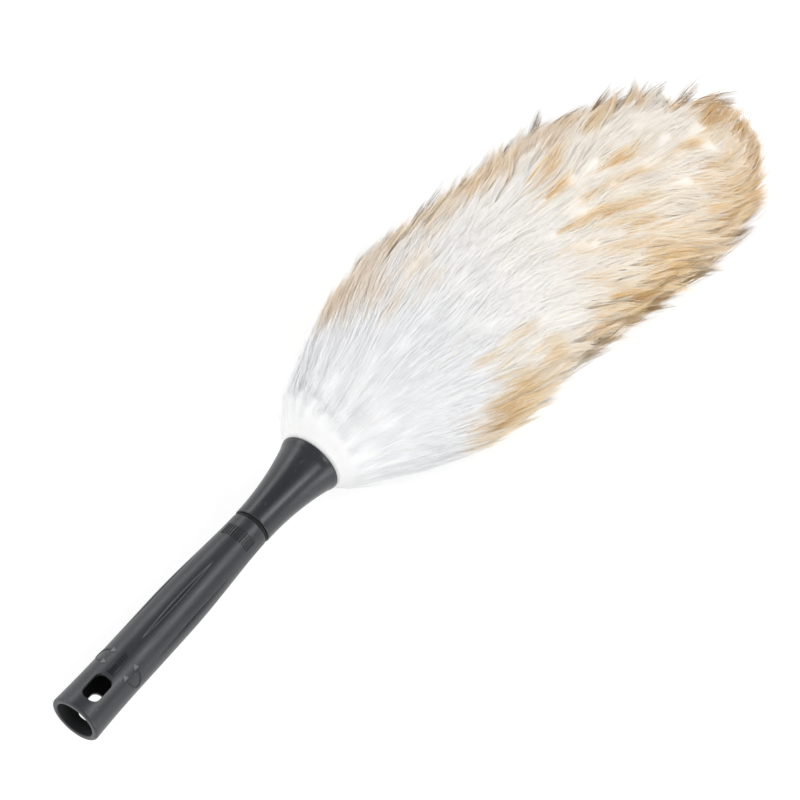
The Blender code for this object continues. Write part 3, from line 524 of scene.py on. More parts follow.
# Tan patches on the wool that show from above: distance along the duster, distance to the side,
# half length, half width, strength and hue, from pinkish 0 to golden 1
TAN_PATCHES = (
    (0.314, 0.050, 0.014, 0.016, 0.72, 0.15),
    (0.330, 0.051, 0.014, 0.016, 0.65, 0.20),
    (0.350, 0.056, 0.013, 0.014, 0.55, 0.25),
    (0.374, 0.056, 0.015, 0.012, 0.60, 0.40),
    (0.396, 0.052, 0.014, 0.014, 0.60, 0.45),
    (0.422, 0.053, 0.014, 0.015, 0.90, 0.40),
    (0.442, 0.052, 0.014, 0.015, 0.95, 0.40),
    (0.466, 0.056, 0.012, 0.010, 0.75, 0.40),
    (0.487, 0.052, 0.012, 0.012, 0.70, 0.15),
    (0.508, 0.060, 0.014, 0.012, 0.60, 0.35),
    (0.520, 0.046, 0.012, 0.007, 0.80, 0.65),
    (0.540, 0.062, 0.016, 0.014, 0.75, 0.40),
    (0.556, 0.052, 0.010, 0.008, 0.80, 0.45),
    (0.588, 0.040, 0.014, 0.010, 1.00, 0.50),
    (0.594, 0.016, 0.014, 0.013, 1.15, 0.60),
    (0.604, 0.030, 0.014, 0.016, 0.90, 0.50),
    (0.608, 0.004, 0.014, 0.014, 0.95, 0.55),
    (0.612, -0.020, 0.018, 0.016, 0.75, 0.50),
    (0.596, -0.038, 0.018, 0.012, 0.85, 0.60),
    (0.572, -0.046, 0.018, 0.010, 0.80, 0.65),
    (0.552, -0.056, 0.020, 0.009, 0.60, 0.60),
    (0.529, -0.060, 0.016, 0.008, 0.85, 0.85),
    (0.508, -0.064, 0.015, 0.008, 1.30, 1.00),
    (0.490, -0.070, 0.014, 0.008, 1.00, 0.95),
    (0.468, -0.070, 0.013, 0.008, 1.20, 1.00),
    (0.446, -0.072, 0.012, 0.008, 0.75, 0.80),
    (0.432, -0.072, 0.010, 0.007, 0.90, 0.60),
    (0.410, -0.074, 0.010, 0.008, 0.50, 0.60),
    (0.389, -0.069, 0.013, 0.008, 0.70, 0.75),
    (0.372, -0.078, 0.012, 0.008, 0.70, 0.75),
    (0.352, -0.072, 0.014, 0.009, 1.15, 0.95),
    (0.338, -0.076, 0.014, 0.008, 1.25, 0.85),
    (0.318, -0.074, 0.012, 0.008, 0.70, 0.60),
    (0.373, -0.051, 0.010, 0.004, 0.35, 0.60),
    (0.352, -0.056, 0.012, 0.004, 0.30, 0.60),
    (0.324, 0.018, 0.009, 0.006, 0.30, 0.10),
    (0.325, 0.033, 0.012, 0.008, 0.55, 0.10),
    (0.347, 0.010, 0.009, 0.006, 0.35, 0.15),
    (0.352, 0.026, 0.012, 0.009, 0.45, 0.20),
    (0.378, 0.036, 0.010, 0.007, 0.30, 0.35),
    (0.464, 0.025, 0.014, 0.005, 1.05, 0.75),
    (0.457, 0.009, 0.011, 0.005, 0.95, 0.80),
    (0.476, 0.034, 0.012, 0.006, 0.60, 0.45),
    (0.509, 0.006, 0.014, 0.004, 1.05, 0.75),
    (0.493, -0.008, 0.030, 0.003, 0.60, 0.60),
    (0.483, -0.022, 0.030, 0.004, 0.85, 0.80),
    (0.456, -0.018, 0.010, 0.004, 0.85, 0.80),
    (0.499, -0.037, 0.040, 0.003, 0.60, 0.65),
    (0.441, -0.032, 0.008, 0.004, 0.60, 0.75),
    (0.473, -0.043, 0.030, 0.003, 0.45, 0.60),
    (0.502, -0.050, 0.022, 0.005, 0.50, 0.60),
    (0.519, -0.058, 0.022, 0.006, 0.75, 0.85),
    (0.447, -0.053, 0.014, 0.005, 0.50, 0.65),
    (0.558, -0.003, 0.016, 0.004, 0.80, 0.70),
    (0.572, -0.019, 0.026, 0.004, 0.60, 0.55),
    (0.576, -0.034, 0.028, 0.008, 0.55, 0.55),
    (0.337, -0.048, 0.011, 0.003, 0.50, 0.60),
    (0.373, -0.051, 0.014, 0.004, 0.50, 0.60),
)

# How the wool is combed: distance along the duster, distance to the side, and the degrees by
# which the wool there turns towards +Y from the duster's middle line
COMBED = np.array(
    (
        (0.250, 0.000, 0.0),
        (0.270, 0.050, 22.0),
        (0.270, -0.050, -22.0),
        (0.300, -0.075, -28.0),
        (0.325, 0.058, 21.0),
        (0.330, -0.025, 2.0),
        (0.343, -0.085, -32.0),
        (0.375, -0.022, -12.0),
        (0.370, 0.020, 5.0),
        (0.414, -0.081, -30.0),
        (0.415, 0.065, 26.0),
        (0.440, -0.014, -7.0),
        (0.453, 0.071, 44.0),
        (0.465, 0.028, 25.0),
        (0.470, -0.076, -29.0),
        (0.485, -0.032, -12.0),
        (0.500, 0.010, 11.0),
        (0.520, -0.025, -22.0),
        (0.530, -0.050, -26.0),
        (0.543, 0.071, 34.0),
        (0.560, 0.060, 52.0),
        (0.575, 0.020, 10.0),
        (0.580, -0.040, 12.0),
        (0.595, 0.042, 50.0),
        (0.598, 0.005, 30.0),
        (0.607, -0.031, 46.0),
    )
)
COMBED_REACH = 0.030
COMBED_FAR = 1e-4
COMBED_FAR_SOFT = 0.01

# Tufts that stand out at the sides: where each tip ends, along the duster and to the side, and how
# much further out it reaches than the wool beside it, or less at the notch before the tip; how
# wide such a tuft is, and between which heights off the middle it fades
SIDE_TUFTS = (
    (0.334, 0.067, 0.004),
    (0.360, 0.072, 0.006),
    (0.376, 0.071, 0.004),
    (0.408, 0.070, 0.004),
    (0.425, 0.071, 0.004),
    (0.451, 0.073, 0.005),
    (0.465, 0.079, 0.008),
    (0.479, 0.087, 0.014),
    (0.492, 0.078, 0.006),
    (0.511, 0.076, 0.005),
    (0.538, 0.074, 0.007),
    (0.553, 0.073, 0.008),
    (0.570, 0.070, 0.010),
    (0.581, 0.071, 0.015),
    (0.588, 0.064, 0.012),
    (0.582, 0.044, -0.026),
    (0.591, 0.054, -0.018),
    (0.598, 0.052, -0.010),
    (0.611, 0.044, 0.006),
    (0.618, 0.037, 0.010),
    (0.624, 0.024, 0.006),
    (0.628, 0.005, 0.005),
    (0.620, -0.033, 0.009),
    (0.606, -0.045, 0.004),
    (0.575, -0.060, 0.008),
    (0.560, -0.065, 0.009),
    (0.530, -0.070, 0.009),
    (0.512, -0.068, 0.005),
    (0.474, -0.073, 0.006),
    (0.448, -0.078, 0.008),
    (0.414, -0.078, 0.006),
    (0.389, -0.083, 0.008),
    (0.370, -0.082, 0.007),
    (0.336, -0.079, 0.004),
)
SIDE_TUFT_SPREAD = 0.0065
SIDE_TUFT_HEIGHTS = (0.035, 0.012)

# Tufts beyond this distance along the duster stand out of its round tip, and the others sideways
TIP_MIDDLE = 0.545

# The parting before the tip: its two ends, along the duster and to the side, its width and depth,
# how far it fades before its start and past its end, and the share of it that is full depth
PARTING = ((0.594, 0.056), (0.560, 0.029))
PARTING_WIDTH = 0.0060
PARTING_DEPTH = 0.0140
PARTING_FADE = 0.012
PARTING_OVERRUN = 0.006
PARTING_FULL = 0.4


def add_object(name, data):
    thing = bpy.data.objects.new(name, data)
    bpy.context.collection.objects.link(thing)
    return thing


def mesh_from(name, bm, finish):
    mesh = bpy.data.meshes.new(name)
    bm.to_mesh(mesh)
    bm.free()
    mesh.materials.append(finish)
    return mesh


def shade_smooth(mesh, bend_sharp):
    """Shades a mesh smooth, apart from edges that bend by more than this many degrees."""
    mesh.shade_smooth()
    mesh.set_sharp_from_angle(angle=math.radians(bend_sharp))


def new_object(name, bm, finish, bend_sharp=BEND_SHARP):
    """Makes an object from a bmesh shaped from the handle's butt, in the part's place."""
    bmesh.ops.remove_doubles(bm, verts=bm.verts[:], dist=1e-7)
    bmesh.ops.recalc_face_normals(bm, faces=bm.faces[:])
    bm.transform(Matrix.Translation(BUTT))
    mesh = mesh_from(name, bm, finish)
    shade_smooth(mesh, bend_sharp)
    return add_object(name, mesh)


def points_of(mesh):
    """A mesh's points, measured from the handle's butt."""
    places = np.zeros(len(mesh.vertices) * 3)
    mesh.vertices.foreach_get("co", places)
    return places.reshape(-1, 3) - np.array(BUTT)


def write_point_values(mesh, name, values):
    attribute = mesh.attributes.new(name, "FLOAT", "POINT")
    attribute.data.foreach_set("value", np.asarray(values, np.float32).ravel())


def apply_modifiers(thing):
    """Keeps the shape that the modifiers give, and removes them."""
    bpy.context.view_layer.update()
    shown = thing.evaluated_get(bpy.context.evaluated_depsgraph_get())
    mesh = bpy.data.meshes.new_from_object(shown)
    thing.modifiers.clear()
    thing.data = mesh


def combine(thing, operation, *tools):
    """Joins each tool to the object or cuts it away, and removes the tools."""
    for tool in tools:
        boolean = thing.modifiers.new(operation.lower(), "BOOLEAN")
        boolean.operation = operation
        boolean.solver = "EXACT"
        boolean.object = tool
    apply_modifiers(thing)
    for tool in tools:
        bpy.data.objects.remove(tool, do_unlink=True)


def arc(middle_x, middle_r, radius, start, end, steps):
    """Points (x, r) on an arc, with its angles in degrees from +x towards +r."""
    points = []
    for step in range(steps + 1):
        angle = math.radians(start + (end - start) * step / steps)
        points.append((middle_x + radius * math.cos(angle), middle_r + radius * math.sin(angle)))
    return points


def between(start, end, steps):
    return [start + (end - start) * step / steps for step in range(steps + 1)]


def turned(outline):
    """A bmesh of a closed outline of (x, r) points turned round the X axis."""
    bm = bmesh.new()
    corners = [bm.verts.new((x, 0.0, r)) for x, r in outline]
    edges = [bm.edges.new(pair) for pair in zip(corners, corners[1:])]
    edges.append(bm.edges.new((corners[-1], corners[0])))
    bmesh.ops.spin(
        bm,
        geom=corners + edges,
        cent=(0.0, 0.0, 0.0),
        axis=(1.0, 0.0, 0.0),
        angle=math.tau,
        steps=TURN_STEPS,
        use_merge=True,
    )
    return bm


def threaded_rod(start, end, root, crest, crest_width, flank, phase):
    """A bmesh of a right-handed screw on the X axis, cut square at start and end."""
    pitch = THREAD_PITCH
    turns = math.ceil((end - start) / pitch) + 3
    first = phase - pitch * (math.ceil((phase - start) / pitch) + 2)
    half = crest_width / 2
    section = (
        (-pitch / 2, root),
        (-half - flank, root),
        (-half, crest),
        (half, crest),
        (half + flank, root),
        (pitch / 2, root),
    )
    bm = bmesh.new()
    corners = [bm.verts.new((first + x, 0.0, r)) for x, r in section]
    edges = [bm.edges.new(pair) for pair in zip(corners, corners[1:])]
    bmesh.ops.spin(
        bm,
        geom=corners + edges,
        cent=(0.0, 0.0, 0.0),
        axis=(1.0, 0.0, 0.0),
        dvec=(pitch / THREAD_STEPS, 0.0, 0.0),
        angle=math.tau * turns,
        steps=THREAD_STEPS * turns,
    )
    bmesh.ops.remove_doubles(bm, verts=bm.verts[:], dist=1e-6)
    for x, keep_above in ((start, True), (end, False)):
        bmesh.ops.bisect_plane(
            bm,
            geom=bm.verts[:] + bm.edges[:] + bm.faces[:],
            dist=1e-7,
            plane_co=(x, 0.0, 0.0),
            plane_no=(1.0, 0.0, 0.0),
            clear_inner=keep_above,
            clear_outer=not keep_above,
        )
    bmesh.ops.holes_fill(bm, edges=[edge for edge in bm.edges if edge.is_boundary], sides=0)
    bmesh.ops.triangulate(bm, faces=[face for face in bm.faces if len(face.verts) > 4])
    return bm


def grid_skin(rows):
    """A bmesh of closed rings of points joined in order; a ring of one point closes an end."""
    sides = max(len(row) for row in rows)
    bm = bmesh.new()
    bmesh.ops.create_grid(bm, x_segments=sides, y_segments=len(rows) - 1, size=0.5)
    bm.verts.ensure_lookup_table()
    for vertex in bm.verts:
        column = round((vertex.co.x + 0.5) * sides)
        row = rows[round((vertex.co.y + 0.5) * (len(rows) - 1))]
        vertex.co = row[column % len(row)]
    return bm


# Materials

def new_material(name):
    made = bpy.data.materials.new(name)
    made.use_nodes = True
    return made, made.node_tree, made.node_tree.nodes["Principled BSDF"]


def fill(node, inputs):
    """Sets a node's inputs, each to a value or to what another node gives."""
    for key, value in inputs.items():
        if isinstance(value, bpy.types.NodeSocket):
            node.id_data.links.new(value, node.inputs[key])
        else:
            node.inputs[key].default_value = value


def add_node(tree, kind, inputs=None, **settings):
    made = tree.nodes.new(kind)
    for key, value in settings.items():
        setattr(made, key, value)
    fill(made, inputs or {})
    return made


def mixed(tree, factor, first, second, **settings):
    """Turns the first value or colour into the second by the factor."""
    inputs = {"Factor": factor, "A": first, "B": second}
    return add_node(tree, "ShaderNodeMix", inputs, **settings).outputs["Result"]


def point_value(tree, name):
    return add_node(tree, "ShaderNodeAttribute", attribute_name=name).outputs["Fac"]


def grain(tree, scale, detail=3.0, stretch=(1.0, 1.0, 1.0), source="Object"):
    """A noise texture on the piece's own coordinates; scale is waves to the metre."""
    place = add_node(tree, "ShaderNodeTexCoord").outputs[source]
    mapping = add_node(tree, "ShaderNodeMapping", {"Vector": place, "Scale": stretch})
    waves = {"Vector": mapping.outputs["Vector"], "Scale": scale, "Detail": detail}
    return add_node(tree, "ShaderNodeTexNoise", waves).outputs["Fac"]


def ramp(tree, factor, stops):
    """A colour ramp with stops of (place, colour)."""
    made = add_node(tree, "ShaderNodeValToRGB", {"Fac": factor})
    made.color_ramp.elements[0].position = stops[0][0]
    made.color_ramp.elements[-1].position = stops[-1][0]
    for place, _ in stops[1:-1]:
        made.color_ramp.elements.new(place)
    for element, (_, colour) in zip(made.color_ramp.elements, stops):
        element.color = (*colour, 1.0)
    return made.outputs["Color"]


def value_range(tree, factor, low, high):
    """Spreads the middle of a noise from low to high."""
    spread = {"Value": factor, "From Min": 0.3, "From Max": 0.7, "To Min": low, "To Max": high}
    return add_node(tree, "ShaderNodeMapRange", spread).outputs["Result"]


def bump(tree, height, strength, distance, below=None):
    """The direction of a surface with this relief, over the relief below it."""
    relief = {"Height": height, "Strength": strength, "Distance": distance}
    if below is not None:
        relief["Normal"] = below
    return add_node(tree, "ShaderNodeBump", relief).outputs["Normal"]


def moulded_plastic(name, dark, light, smooth, rough):
    """Satin moulded plastic: a sparked grain, cloudy tones, pale dust and painted shade in dull
    hollows.
    """
    made, tree, shader = new_material(name)
    tone = ramp(tree, grain(tree, 38.0, 4.0, (0.35, 1.0, 1.0)), ((0.30, dark), (0.72, light)))
    specks = ((0.725, (0.0, 0.0, 0.0)), (0.760, (0.3, 0.3, 0.3)))
    dust = ramp(tree, grain(tree, 430.0, 1.0), specks)
    dusted = mixed(tree, dust, tone, DUST_COLOUR, data_type="RGBA")
    # hollow says how strong the painted shade is on the bore, the creases and the lip's edge
    hollow = point_value(tree, "hollow")
    streaks = value_range(tree, grain(tree, 420.0, 2.0, (0.12, 1.0, 1.0)), smooth, rough)
    waviness = bump(tree, grain(tree, 300.0, 3.0), 0.08, 0.0002)
    fill(
        shader,
        {
            "Base Color": mixed(tree, hollow, dusted, HOLLOW_SHADE_COLOUR, data_type="RGBA"),
            "Roughness": mixed(tree, hollow, streaks, HOLLOW_ROUGHNESS),
            "Normal": bump(tree, grain(tree, 2600.0, 2.0), 0.20, 0.00008, waviness),
        },
    )
    return made


def black_rubber():
    made, tree, shader = new_material("black rubber")
    colours = ((0.3, (0.010, 0.010, 0.011)), (0.7, (0.022, 0.022, 0.024)))
    fill(
        shader,
        {
            "Base Color": ramp(tree, grain(tree, 260.0), colours),
            "Roughness": value_range(tree, grain(tree, 900.0), 0.45, 0.62),
            "Normal": bump(tree, grain(tree, 1800.0), 0.25, 0.0001),
        },
    )
    return made


def natural_nylon():
    """Extruded rod: faint lines along its length."""
    made, tree, shader = new_material("natural nylon")
    colours = ((0.3, (0.56, 0.53, 0.45)), (0.7, (0.68, 0.66, 0.59)))
    lines = grain(tree, 1100.0, 2.0, (0.01, 1.0, 1.0))
    fill(
        shader,
        {
            "Base Color": ramp(tree, grain(tree, 60.0, 4.0, (0.2, 1.0, 1.0)), colours),
            "Roughness": value_range(tree, lines, 0.36, 0.52),
            "Normal": bump(tree, lines, 0.2, 0.0001),
            "Subsurface Weight": 0.15,
            "Subsurface Scale": 0.002,
        },
    )
    return made


def zinc_plate(name, scale):
    """Zinc plating: a pale blue and yellow bloom over a fine brushed grain."""
    made, tree, shader = new_material(name)
    colours = ((0.3, (0.60, 0.62, 0.66)), (0.5, (0.70, 0.70, 0.69)), (0.7, (0.72, 0.69, 0.58)))
    brushed = grain(tree, 3000.0, 2.0, (1.0, 0.1, 0.1))
    fill(
        shader,
        {
            "Base Color": ramp(tree, grain(tree, scale), colours),
            "Metallic": 1.0,
            "Roughness": value_range(tree, brushed, 0.24, 0.42),
            "Normal": bump(tree, brushed, 0.15, 0.00005),
        },
    )
    return made


def sheepskin_leather():
    """The skin side's nap and pores, in cloudy darker and lighter tones."""
    made, tree, shader = new_material("sheepskin leather")
    colours = ((0.25, (0.52, 0.40, 0.26)), (0.5, (0.68, 0.57, 0.42)), (0.75, (0.78, 0.69, 0.54)))
    place = add_node(tree, "ShaderNodeTexCoord").outputs["Object"]
    pores = add_node(tree, "ShaderNodeTexVoronoi", {"Vector": place, "Scale": 1300.0})
    nap = bump(tree, grain(tree, 240.0, 4.0), 0.4, 0.0004)
    fill(
        shader,
        {
            "Base Color": ramp(tree, grain(tree, 90.0, 6.0), colours),
            "Roughness": value_range(tree, grain(tree, 500.0), 0.70, 0.90),
            "Normal": bump(tree, pores.outputs["Distance"], 0.35, 0.0002, nap),
        },
    )
    return made


def twisted_yarn(name, dark, light, waves):
    """Yarn with its fibres laid across the thread at a slant."""
    made, tree, shader = new_material(name)
    fuzz = grain(tree, waves, 3.0, (1.0, 1.0, 0.35))
    fill(
        shader,
        {
            "Base Color": ramp(tree, fuzz, ((0.3, dark), (0.7, light))),
            "Roughness": 0.75,
            "Sheen Weight": 0.3,
            "Normal": bump(tree, fuzz, 0.5, 0.00012),
        },
    )
    return made


def wool_colour(tree, white):
    """White wool, pinkish tan or golden by its values tan and gold, with painted cool shade by cool.
    """
    tan = point_value(tree, "tan")
    pinkish = ramp(tree, tan, ((0.0, white), *PINKISH_TAN))
    golden = ramp(tree, tan, ((0.0, white), *GOLDEN_TAN))
    hue = mixed(tree, point_value(tree, "gold"), pinkish, golden, data_type="RGBA")
    # cool: how much painted cool shade greys and blues the white near the collar
    cool = point_value(tree, "cool")
    return mixed(tree, cool, hue, PAINTED_COOL_SHADE, data_type="RGBA", blend_type="MULTIPLY")


def wool_strands():
    made, tree, shader = new_material("wool strands")
    colour = wool_colour(tree, (0.975, 0.970, 0.962))
    fill(shader, {"Base Color": colour, "Roughness": 0.9, "Specular IOR Level": 0.10})
    return made


def combed_wool():
    """The close inner wool: fine lines that follow the comb."""
    made, tree, shader = new_material("combed wool")
    lines = bump(tree, grain(tree, 1.0, 3.0, (170.0, 9.0, 1.0), "UV"), 0.20, 0.0008)
    fill(
        shader,
        {
            # Its white is a little darker than the fibres' white: painted shade like the shade among
            # fibres
            "Base Color": wool_colour(tree, (0.920, 0.910, 0.892)),
            "Roughness": 0.95,
            "Specular IOR Level": 0.10,
            "Normal": bump(tree, grain(tree, 1.0, 2.0, (620.0, 26.0, 1.0), "UV"), 0.20, 0.0003, lines),
        },
    )
    return made


# Handle grip

def grip_radius(x):
    """Outer radius of the grip: a flare at the butt, a straight belly and a taper to the neck."""
    if x < FLARE_LENGTH:
        share = 1.0 - max(x - RIM_ROUND, 0.0) / (FLARE_LENGTH - RIM_ROUND)
        return BELLY_RADIUS + (BUTT_RADIUS - BELLY_RADIUS) * share**2
    along = (x - (GRIP_LENGTH - TAPER_LENGTH)) / TAPER_LENGTH
    if along <= 0.0:
        return BELLY_RADIUS
    share = max(math.cos(math.pi / 2 * min(along, 1.0)), 0.0) ** TAPER_POWER
    return NECK_RADIUS + (BELLY_RADIUS - NECK_RADIUS) * share


def grip_outline():
    outside = arc(RIM_ROUND, BUTT_RADIUS - RIM_ROUND, RIM_ROUND, 180, 90, 8)
    stretches = (
        (RIM_ROUND, FLARE_LENGTH, 24),
        (FLARE_LENGTH, CREASE_START, 6),
        (CREASE_START, CREASE_END, 56),
        (CREASE_END, GRIP_LENGTH - END_ROUND, 18),
    )
    for start, end, steps in stretches:
        outside += [(x, grip_radius(x)) for x in between(start, end, steps)[1:]]
    outside += arc(GRIP_LENGTH - END_ROUND, NECK_RADIUS - END_ROUND, END_ROUND, 90, 0, 5)[1:]
    inside = [
        (GRIP_LENGTH, GRIP_BORE + THREAD_LEAD_IN),
        (GRIP_LENGTH - THREAD_LEAD_IN, GRIP_BORE),
        (SOCKET_DEPTH + SOCKET_STEP, GRIP_BORE),
    ]
    inside += [(x, SOCKET_RADIUS) for x in between(SOCKET_DEPTH, MOUTH_ROUND, 8)[:-1]]
    inside += arc(MOUTH_ROUND, SOCKET_RADIUS + MOUTH_ROUND, MOUTH_ROUND, 270, 180, 6)
    return outside + inside


def crease_depth(x, arc_length):
    """How deep the surface is pressed in, this far along the grip and off the crease's middle."""
    share = (x - CREASE_START) / (CREASE_END - CREASE_START)
    if not 0.0 < share < 1.0:
        return 0.0
    swell = math.sin(math.pi * share) ** CREASE_POWER
    off = abs(arc_length)
    wall = max(1.0 - off / (CREASE_HALF_WIDTH * swell), 0.0)
    shoulder = max(1.0 - off / CREASE_SHOULDER, 0.0) ** 2
    deep = (CREASE_DEPTH - CREASE_SHOULDER_DEPTH) * swell * min(wall, 1.0 - CREASE_FLOOR)
    return deep + CREASE_SHOULDER_DEPTH * swell * shoulder


def press_creases(bm):
    """Draws the grid's columns together at the creases and presses each crease in."""
    lobe = math.tau / CREASE_COUNT
    for vertex in bm.verts:
        x, y, z = vertex.co
        radius = math.hypot(y, z)
        if radius < grip_radius(x) - ON_SURFACE or not CREASE_START < x < CREASE_END:
            continue
        angle = math.atan2(y, z)
        off = math.remainder(angle, lobe)
        crease = angle - off
        swell = math.sin(math.pi * (x - CREASE_START) / (CREASE_END - CREASE_START))
        pull = CREASE_PULL * min(swell * CREASE_PULL_RISE, 1.0)
        drawn = off - pull * lobe / math.tau * math.sin(math.tau * off / lobe)
        depth = crease_depth(x, drawn * radius)
        turn = crease + drawn
        vertex.co = (x, (radius - depth) * math.sin(turn), (radius - depth) * math.cos(turn))


def press_socket_ribs(bm):
    """Slim ribs along the pole socket's wall, clear of the slot's openings."""
    step = math.tau / SOCKET_RIBS
    for vertex in bm.verts:
        x, y, z = vertex.co
        radius = math.hypot(y, z)
        if abs(radius - SOCKET_RADIUS) > ON_SURFACE or x < MOUTH_ROUND + SOCKET_RIB_START:
            continue
        angle = math.atan2(y, z)
        off = math.remainder(angle - step / 2, step) * radius
        rise = SOCKET_RIB_HEIGHT * max(1.0 - (off / SOCKET_RIB_HALF_WIDTH) ** 2, 0.0)
        vertex.co = (x, y * (radius - rise) / radius, z * (radius - rise) / radius)


def slot_tool():
    """A bar with the slot's outline that flares at both walls, so that the edges come out eased."""
    half_length, half_width = SLOT_LENGTH / 2 - SLOT_CORNER, SLOT_WIDTH / 2 - SLOT_CORNER
    corners = []
    for quarter, (side_x, side_y) in enumerate(((1, 1), (-1, 1), (-1, -1), (1, -1))):
        middle = Vector((SLOT_MIDDLE + side_x * half_length, side_y * half_width))
        for step in range(13):
            angle = math.radians(90 * quarter + 90 * step / 12)
            corners.append((middle, Vector((math.cos(angle), math.sin(angle)))))
    levels = [(-1, lift, spread) for lift, spread in SLOT_FLARE]
    levels += [(1, lift, spread) for lift, spread in reversed(SLOT_FLARE)]
    rows = []
    for side, lift, spread in levels:
        row = []
        for middle, outward in corners:
            point = middle + outward * (SLOT_CORNER + SLOT_EDGE * spread)
            inner = middle + outward * SLOT_CORNER
            surface = math.sqrt(grip_radius(inner.x) ** 2 - inner.y**2)
            row.append(Vector((point.x, point.y, side * (surface + lift * SLOT_EDGE))))
        rows.append(row)
    ends = [[sum(row, Vector()) / len(row)] for row in (rows[0], rows[-1])]
    bm = grid_skin([ends[0], *rows, ends[1]])
    return new_object("slot_tool", bm, None)


def female_thread_tool(name, start, end, phase):
    bm = threaded_rod(
        start,
        end,
        THREAD_ROOT,
        THREAD_RADIUS + THREAD_GAP,
        THREAD_CREST + 2 * THREAD_GAP,
        THREAD_FLANK + FLANK_GAP,
        phase,
    )
    return new_object(name, bm, None)


def on_grip(x, arc_length, lift):
    """A point above the grip's surface, arc_length round from its top line towards +Y."""
    radius = grip_radius(x)
    angle = arc_length / radius
    return Vector((x, (radius + lift) * math.sin(angle), (radius + lift) * math.cos(angle)))


def raised_mark(bm, outline, lift=MARK_HEIGHT):
    """Adds a raised patch with an eased top edge, from an outline of (x, arc length) points."""
    base = bm.faces.new([bm.verts.new((x, across, -MARK_ROOT)) for x, across in outline])
    if base.normal.z < 0.0:
        base.normal_flip()
    grown = bmesh.ops.extrude_face_region(bm, geom=[base])["geom"]
    upper = [item for item in grown if isinstance(item, bmesh.types.BMVert)]
    bmesh.ops.translate(bm, verts=upper, vec=(0.0, 0.0, MARK_ROOT + lift))
    top = [item for item in grown if isinstance(item, bmesh.types.BMFace)]
    eased = bmesh.ops.bevel(
        bm,
        geom=list(top[0].edges),
        offset=MARK_EDGE,
        affect="EDGES",
        segments=2,
        profile=0.5,
        material=-1,
    )
    return {vertex for face in eased["faces"] for vertex in face.verts}


def box_mark(bm, x, length, across, width, slant=0.0):
    half = width / 2
    raised_mark(
        bm,
        (
            (x - slant, across - half),
            (x + length - slant, across - half),
            (x + length + slant, across + half),
            (x + slant, across + half),
        ),
    )


def wrap_on_grip(bm):
    """Bends flat marks, with x along the grip and y round it, onto the grip's surface."""
    bmesh.ops.recalc_face_normals(bm, faces=bm.faces[:])
    longest = [edge for edge in bm.edges if edge.calc_length() > MARK_LONG_EDGE]
    bmesh.ops.subdivide_edges(bm, edges=longest, cuts=3, use_grid_fill=True)
    for vertex in bm.verts:
        vertex.co = on_grip(*vertex.co)


def arrow_line(share, side):
    """Middle of the twist arrow's bent line, as (x, arc length)."""
    angle = math.pi * share
    reach = ARROW_REACH - ARROW_NEAR - ARROW_HEAD_LENGTH
    x = ARROW_MIDDLE - ARROW_HALF_SPREAD * math.cos(angle)
    across = side * (ARROW_NEAR + ARROW_HEAD_LENGTH + reach * math.sin(angle))
    return Vector((x, across))


def arrow_tail(bm, side):
    middle = [arrow_line(step / ARROW_STEPS, side) for step in range(ARROW_STEPS + 1)]
    outer, inner = [], []
    for step, point in enumerate(middle):
        before, after = middle[max(step - 1, 0)], middle[min(step + 1, ARROW_STEPS)]
        along = (after - before).normalized()
        normal = Vector((-along.y, along.x)) * (ARROW_LINE / 2)
        outer.append(point + normal * side)
        inner.append(point - normal * side)
    raised_mark(bm, [tuple(point) for point in [*outer, *reversed(inner)]], ARROW_LINE_HEIGHT)


def arrow_head(bm, side, end):
    point = arrow_line(end, side)
    half = ARROW_HEAD_WIDTH / 2
    outline = (
        (point.x - half, point.y),
        (point.x + half, point.y),
        (point.x, point.y - side * ARROW_HEAD_LENGTH),
    )
    raised_mark(bm, outline)


def make_marks(finish, painted_highlight):
    """Pole mark, arrow tails and ribs in painted shade; arrow heads paler, a painted highlight."""
    bm = bmesh.new()
    box_mark(bm, POLE_MARK_START, POLE_MARK_SHAFT, 0.0, POLE_MARK_WIDTH)
    for rib in range(POLE_MARK_RIBS):
        x = POLE_MARK_START + POLE_MARK_SHAFT + (rib + 0.5) * POLE_MARK_RIB_STEP
        box_mark(bm, x, POLE_MARK_RIB_THICKNESS, 0.0, POLE_MARK_RIB_WIDTH, POLE_MARK_RIB_SLANT)
    for side in (-1, 1):
        arrow_tail(bm, side)
    start = GRIP_LENGTH - RIB_FROM_END
    radius = grip_radius(start + RIB_LENGTH / 2)
    for rib in range(RIB_COUNT):
        across = (rib - (RIB_COUNT - 1) / 2) * RIB_STEP * radius
        box_mark(bm, start, RIB_LENGTH, across, RIB_WIDTH)
    wrap_on_grip(bm)
    marks = new_object("grip_marks", bm, finish)
    heads = bmesh.new()
    for side in (-1, 1):
        for end in (0.0, 1.0):
            arrow_head(heads, side, end)
    wrap_on_grip(heads)
    return marks, new_object("grip_arrow_heads", heads, painted_highlight)


def paint_hollow_shade(mesh, depth_at):
    """Marks how deep each point lies in a hollow, from 0 to 1, for the painted shade there."""
    depths = [depth_at(x, math.hypot(y, z)) for x, y, z in points_of(mesh)]
    write_point_values(mesh, "hollow", depths)


def grip_painted_shade(x, radius):
    """Painted shade on the creases' floors, and on the bore behind the eased rim of its mouth."""
    pressed = grip_radius(x) - radius
    if radius < min(SOCKET_RADIUS + MOUTH_ROUND / 2, grip_radius(x) - 2 * CREASE_DEPTH):
        return min(max(x / BORE_SHADE_FADE, 0.0), 1.0) * BORE_SHADE
    if not CREASE_START < x < CREASE_END or pressed > 2 * CREASE_DEPTH:
        return 0.0
    deep = (pressed - CREASE_SHADE_FROM * CREASE_DEPTH) / (CREASE_SHADE_OVER * CREASE_DEPTH)
    return min(max(deep, 0.0), 1.0) * CREASE_SHADE


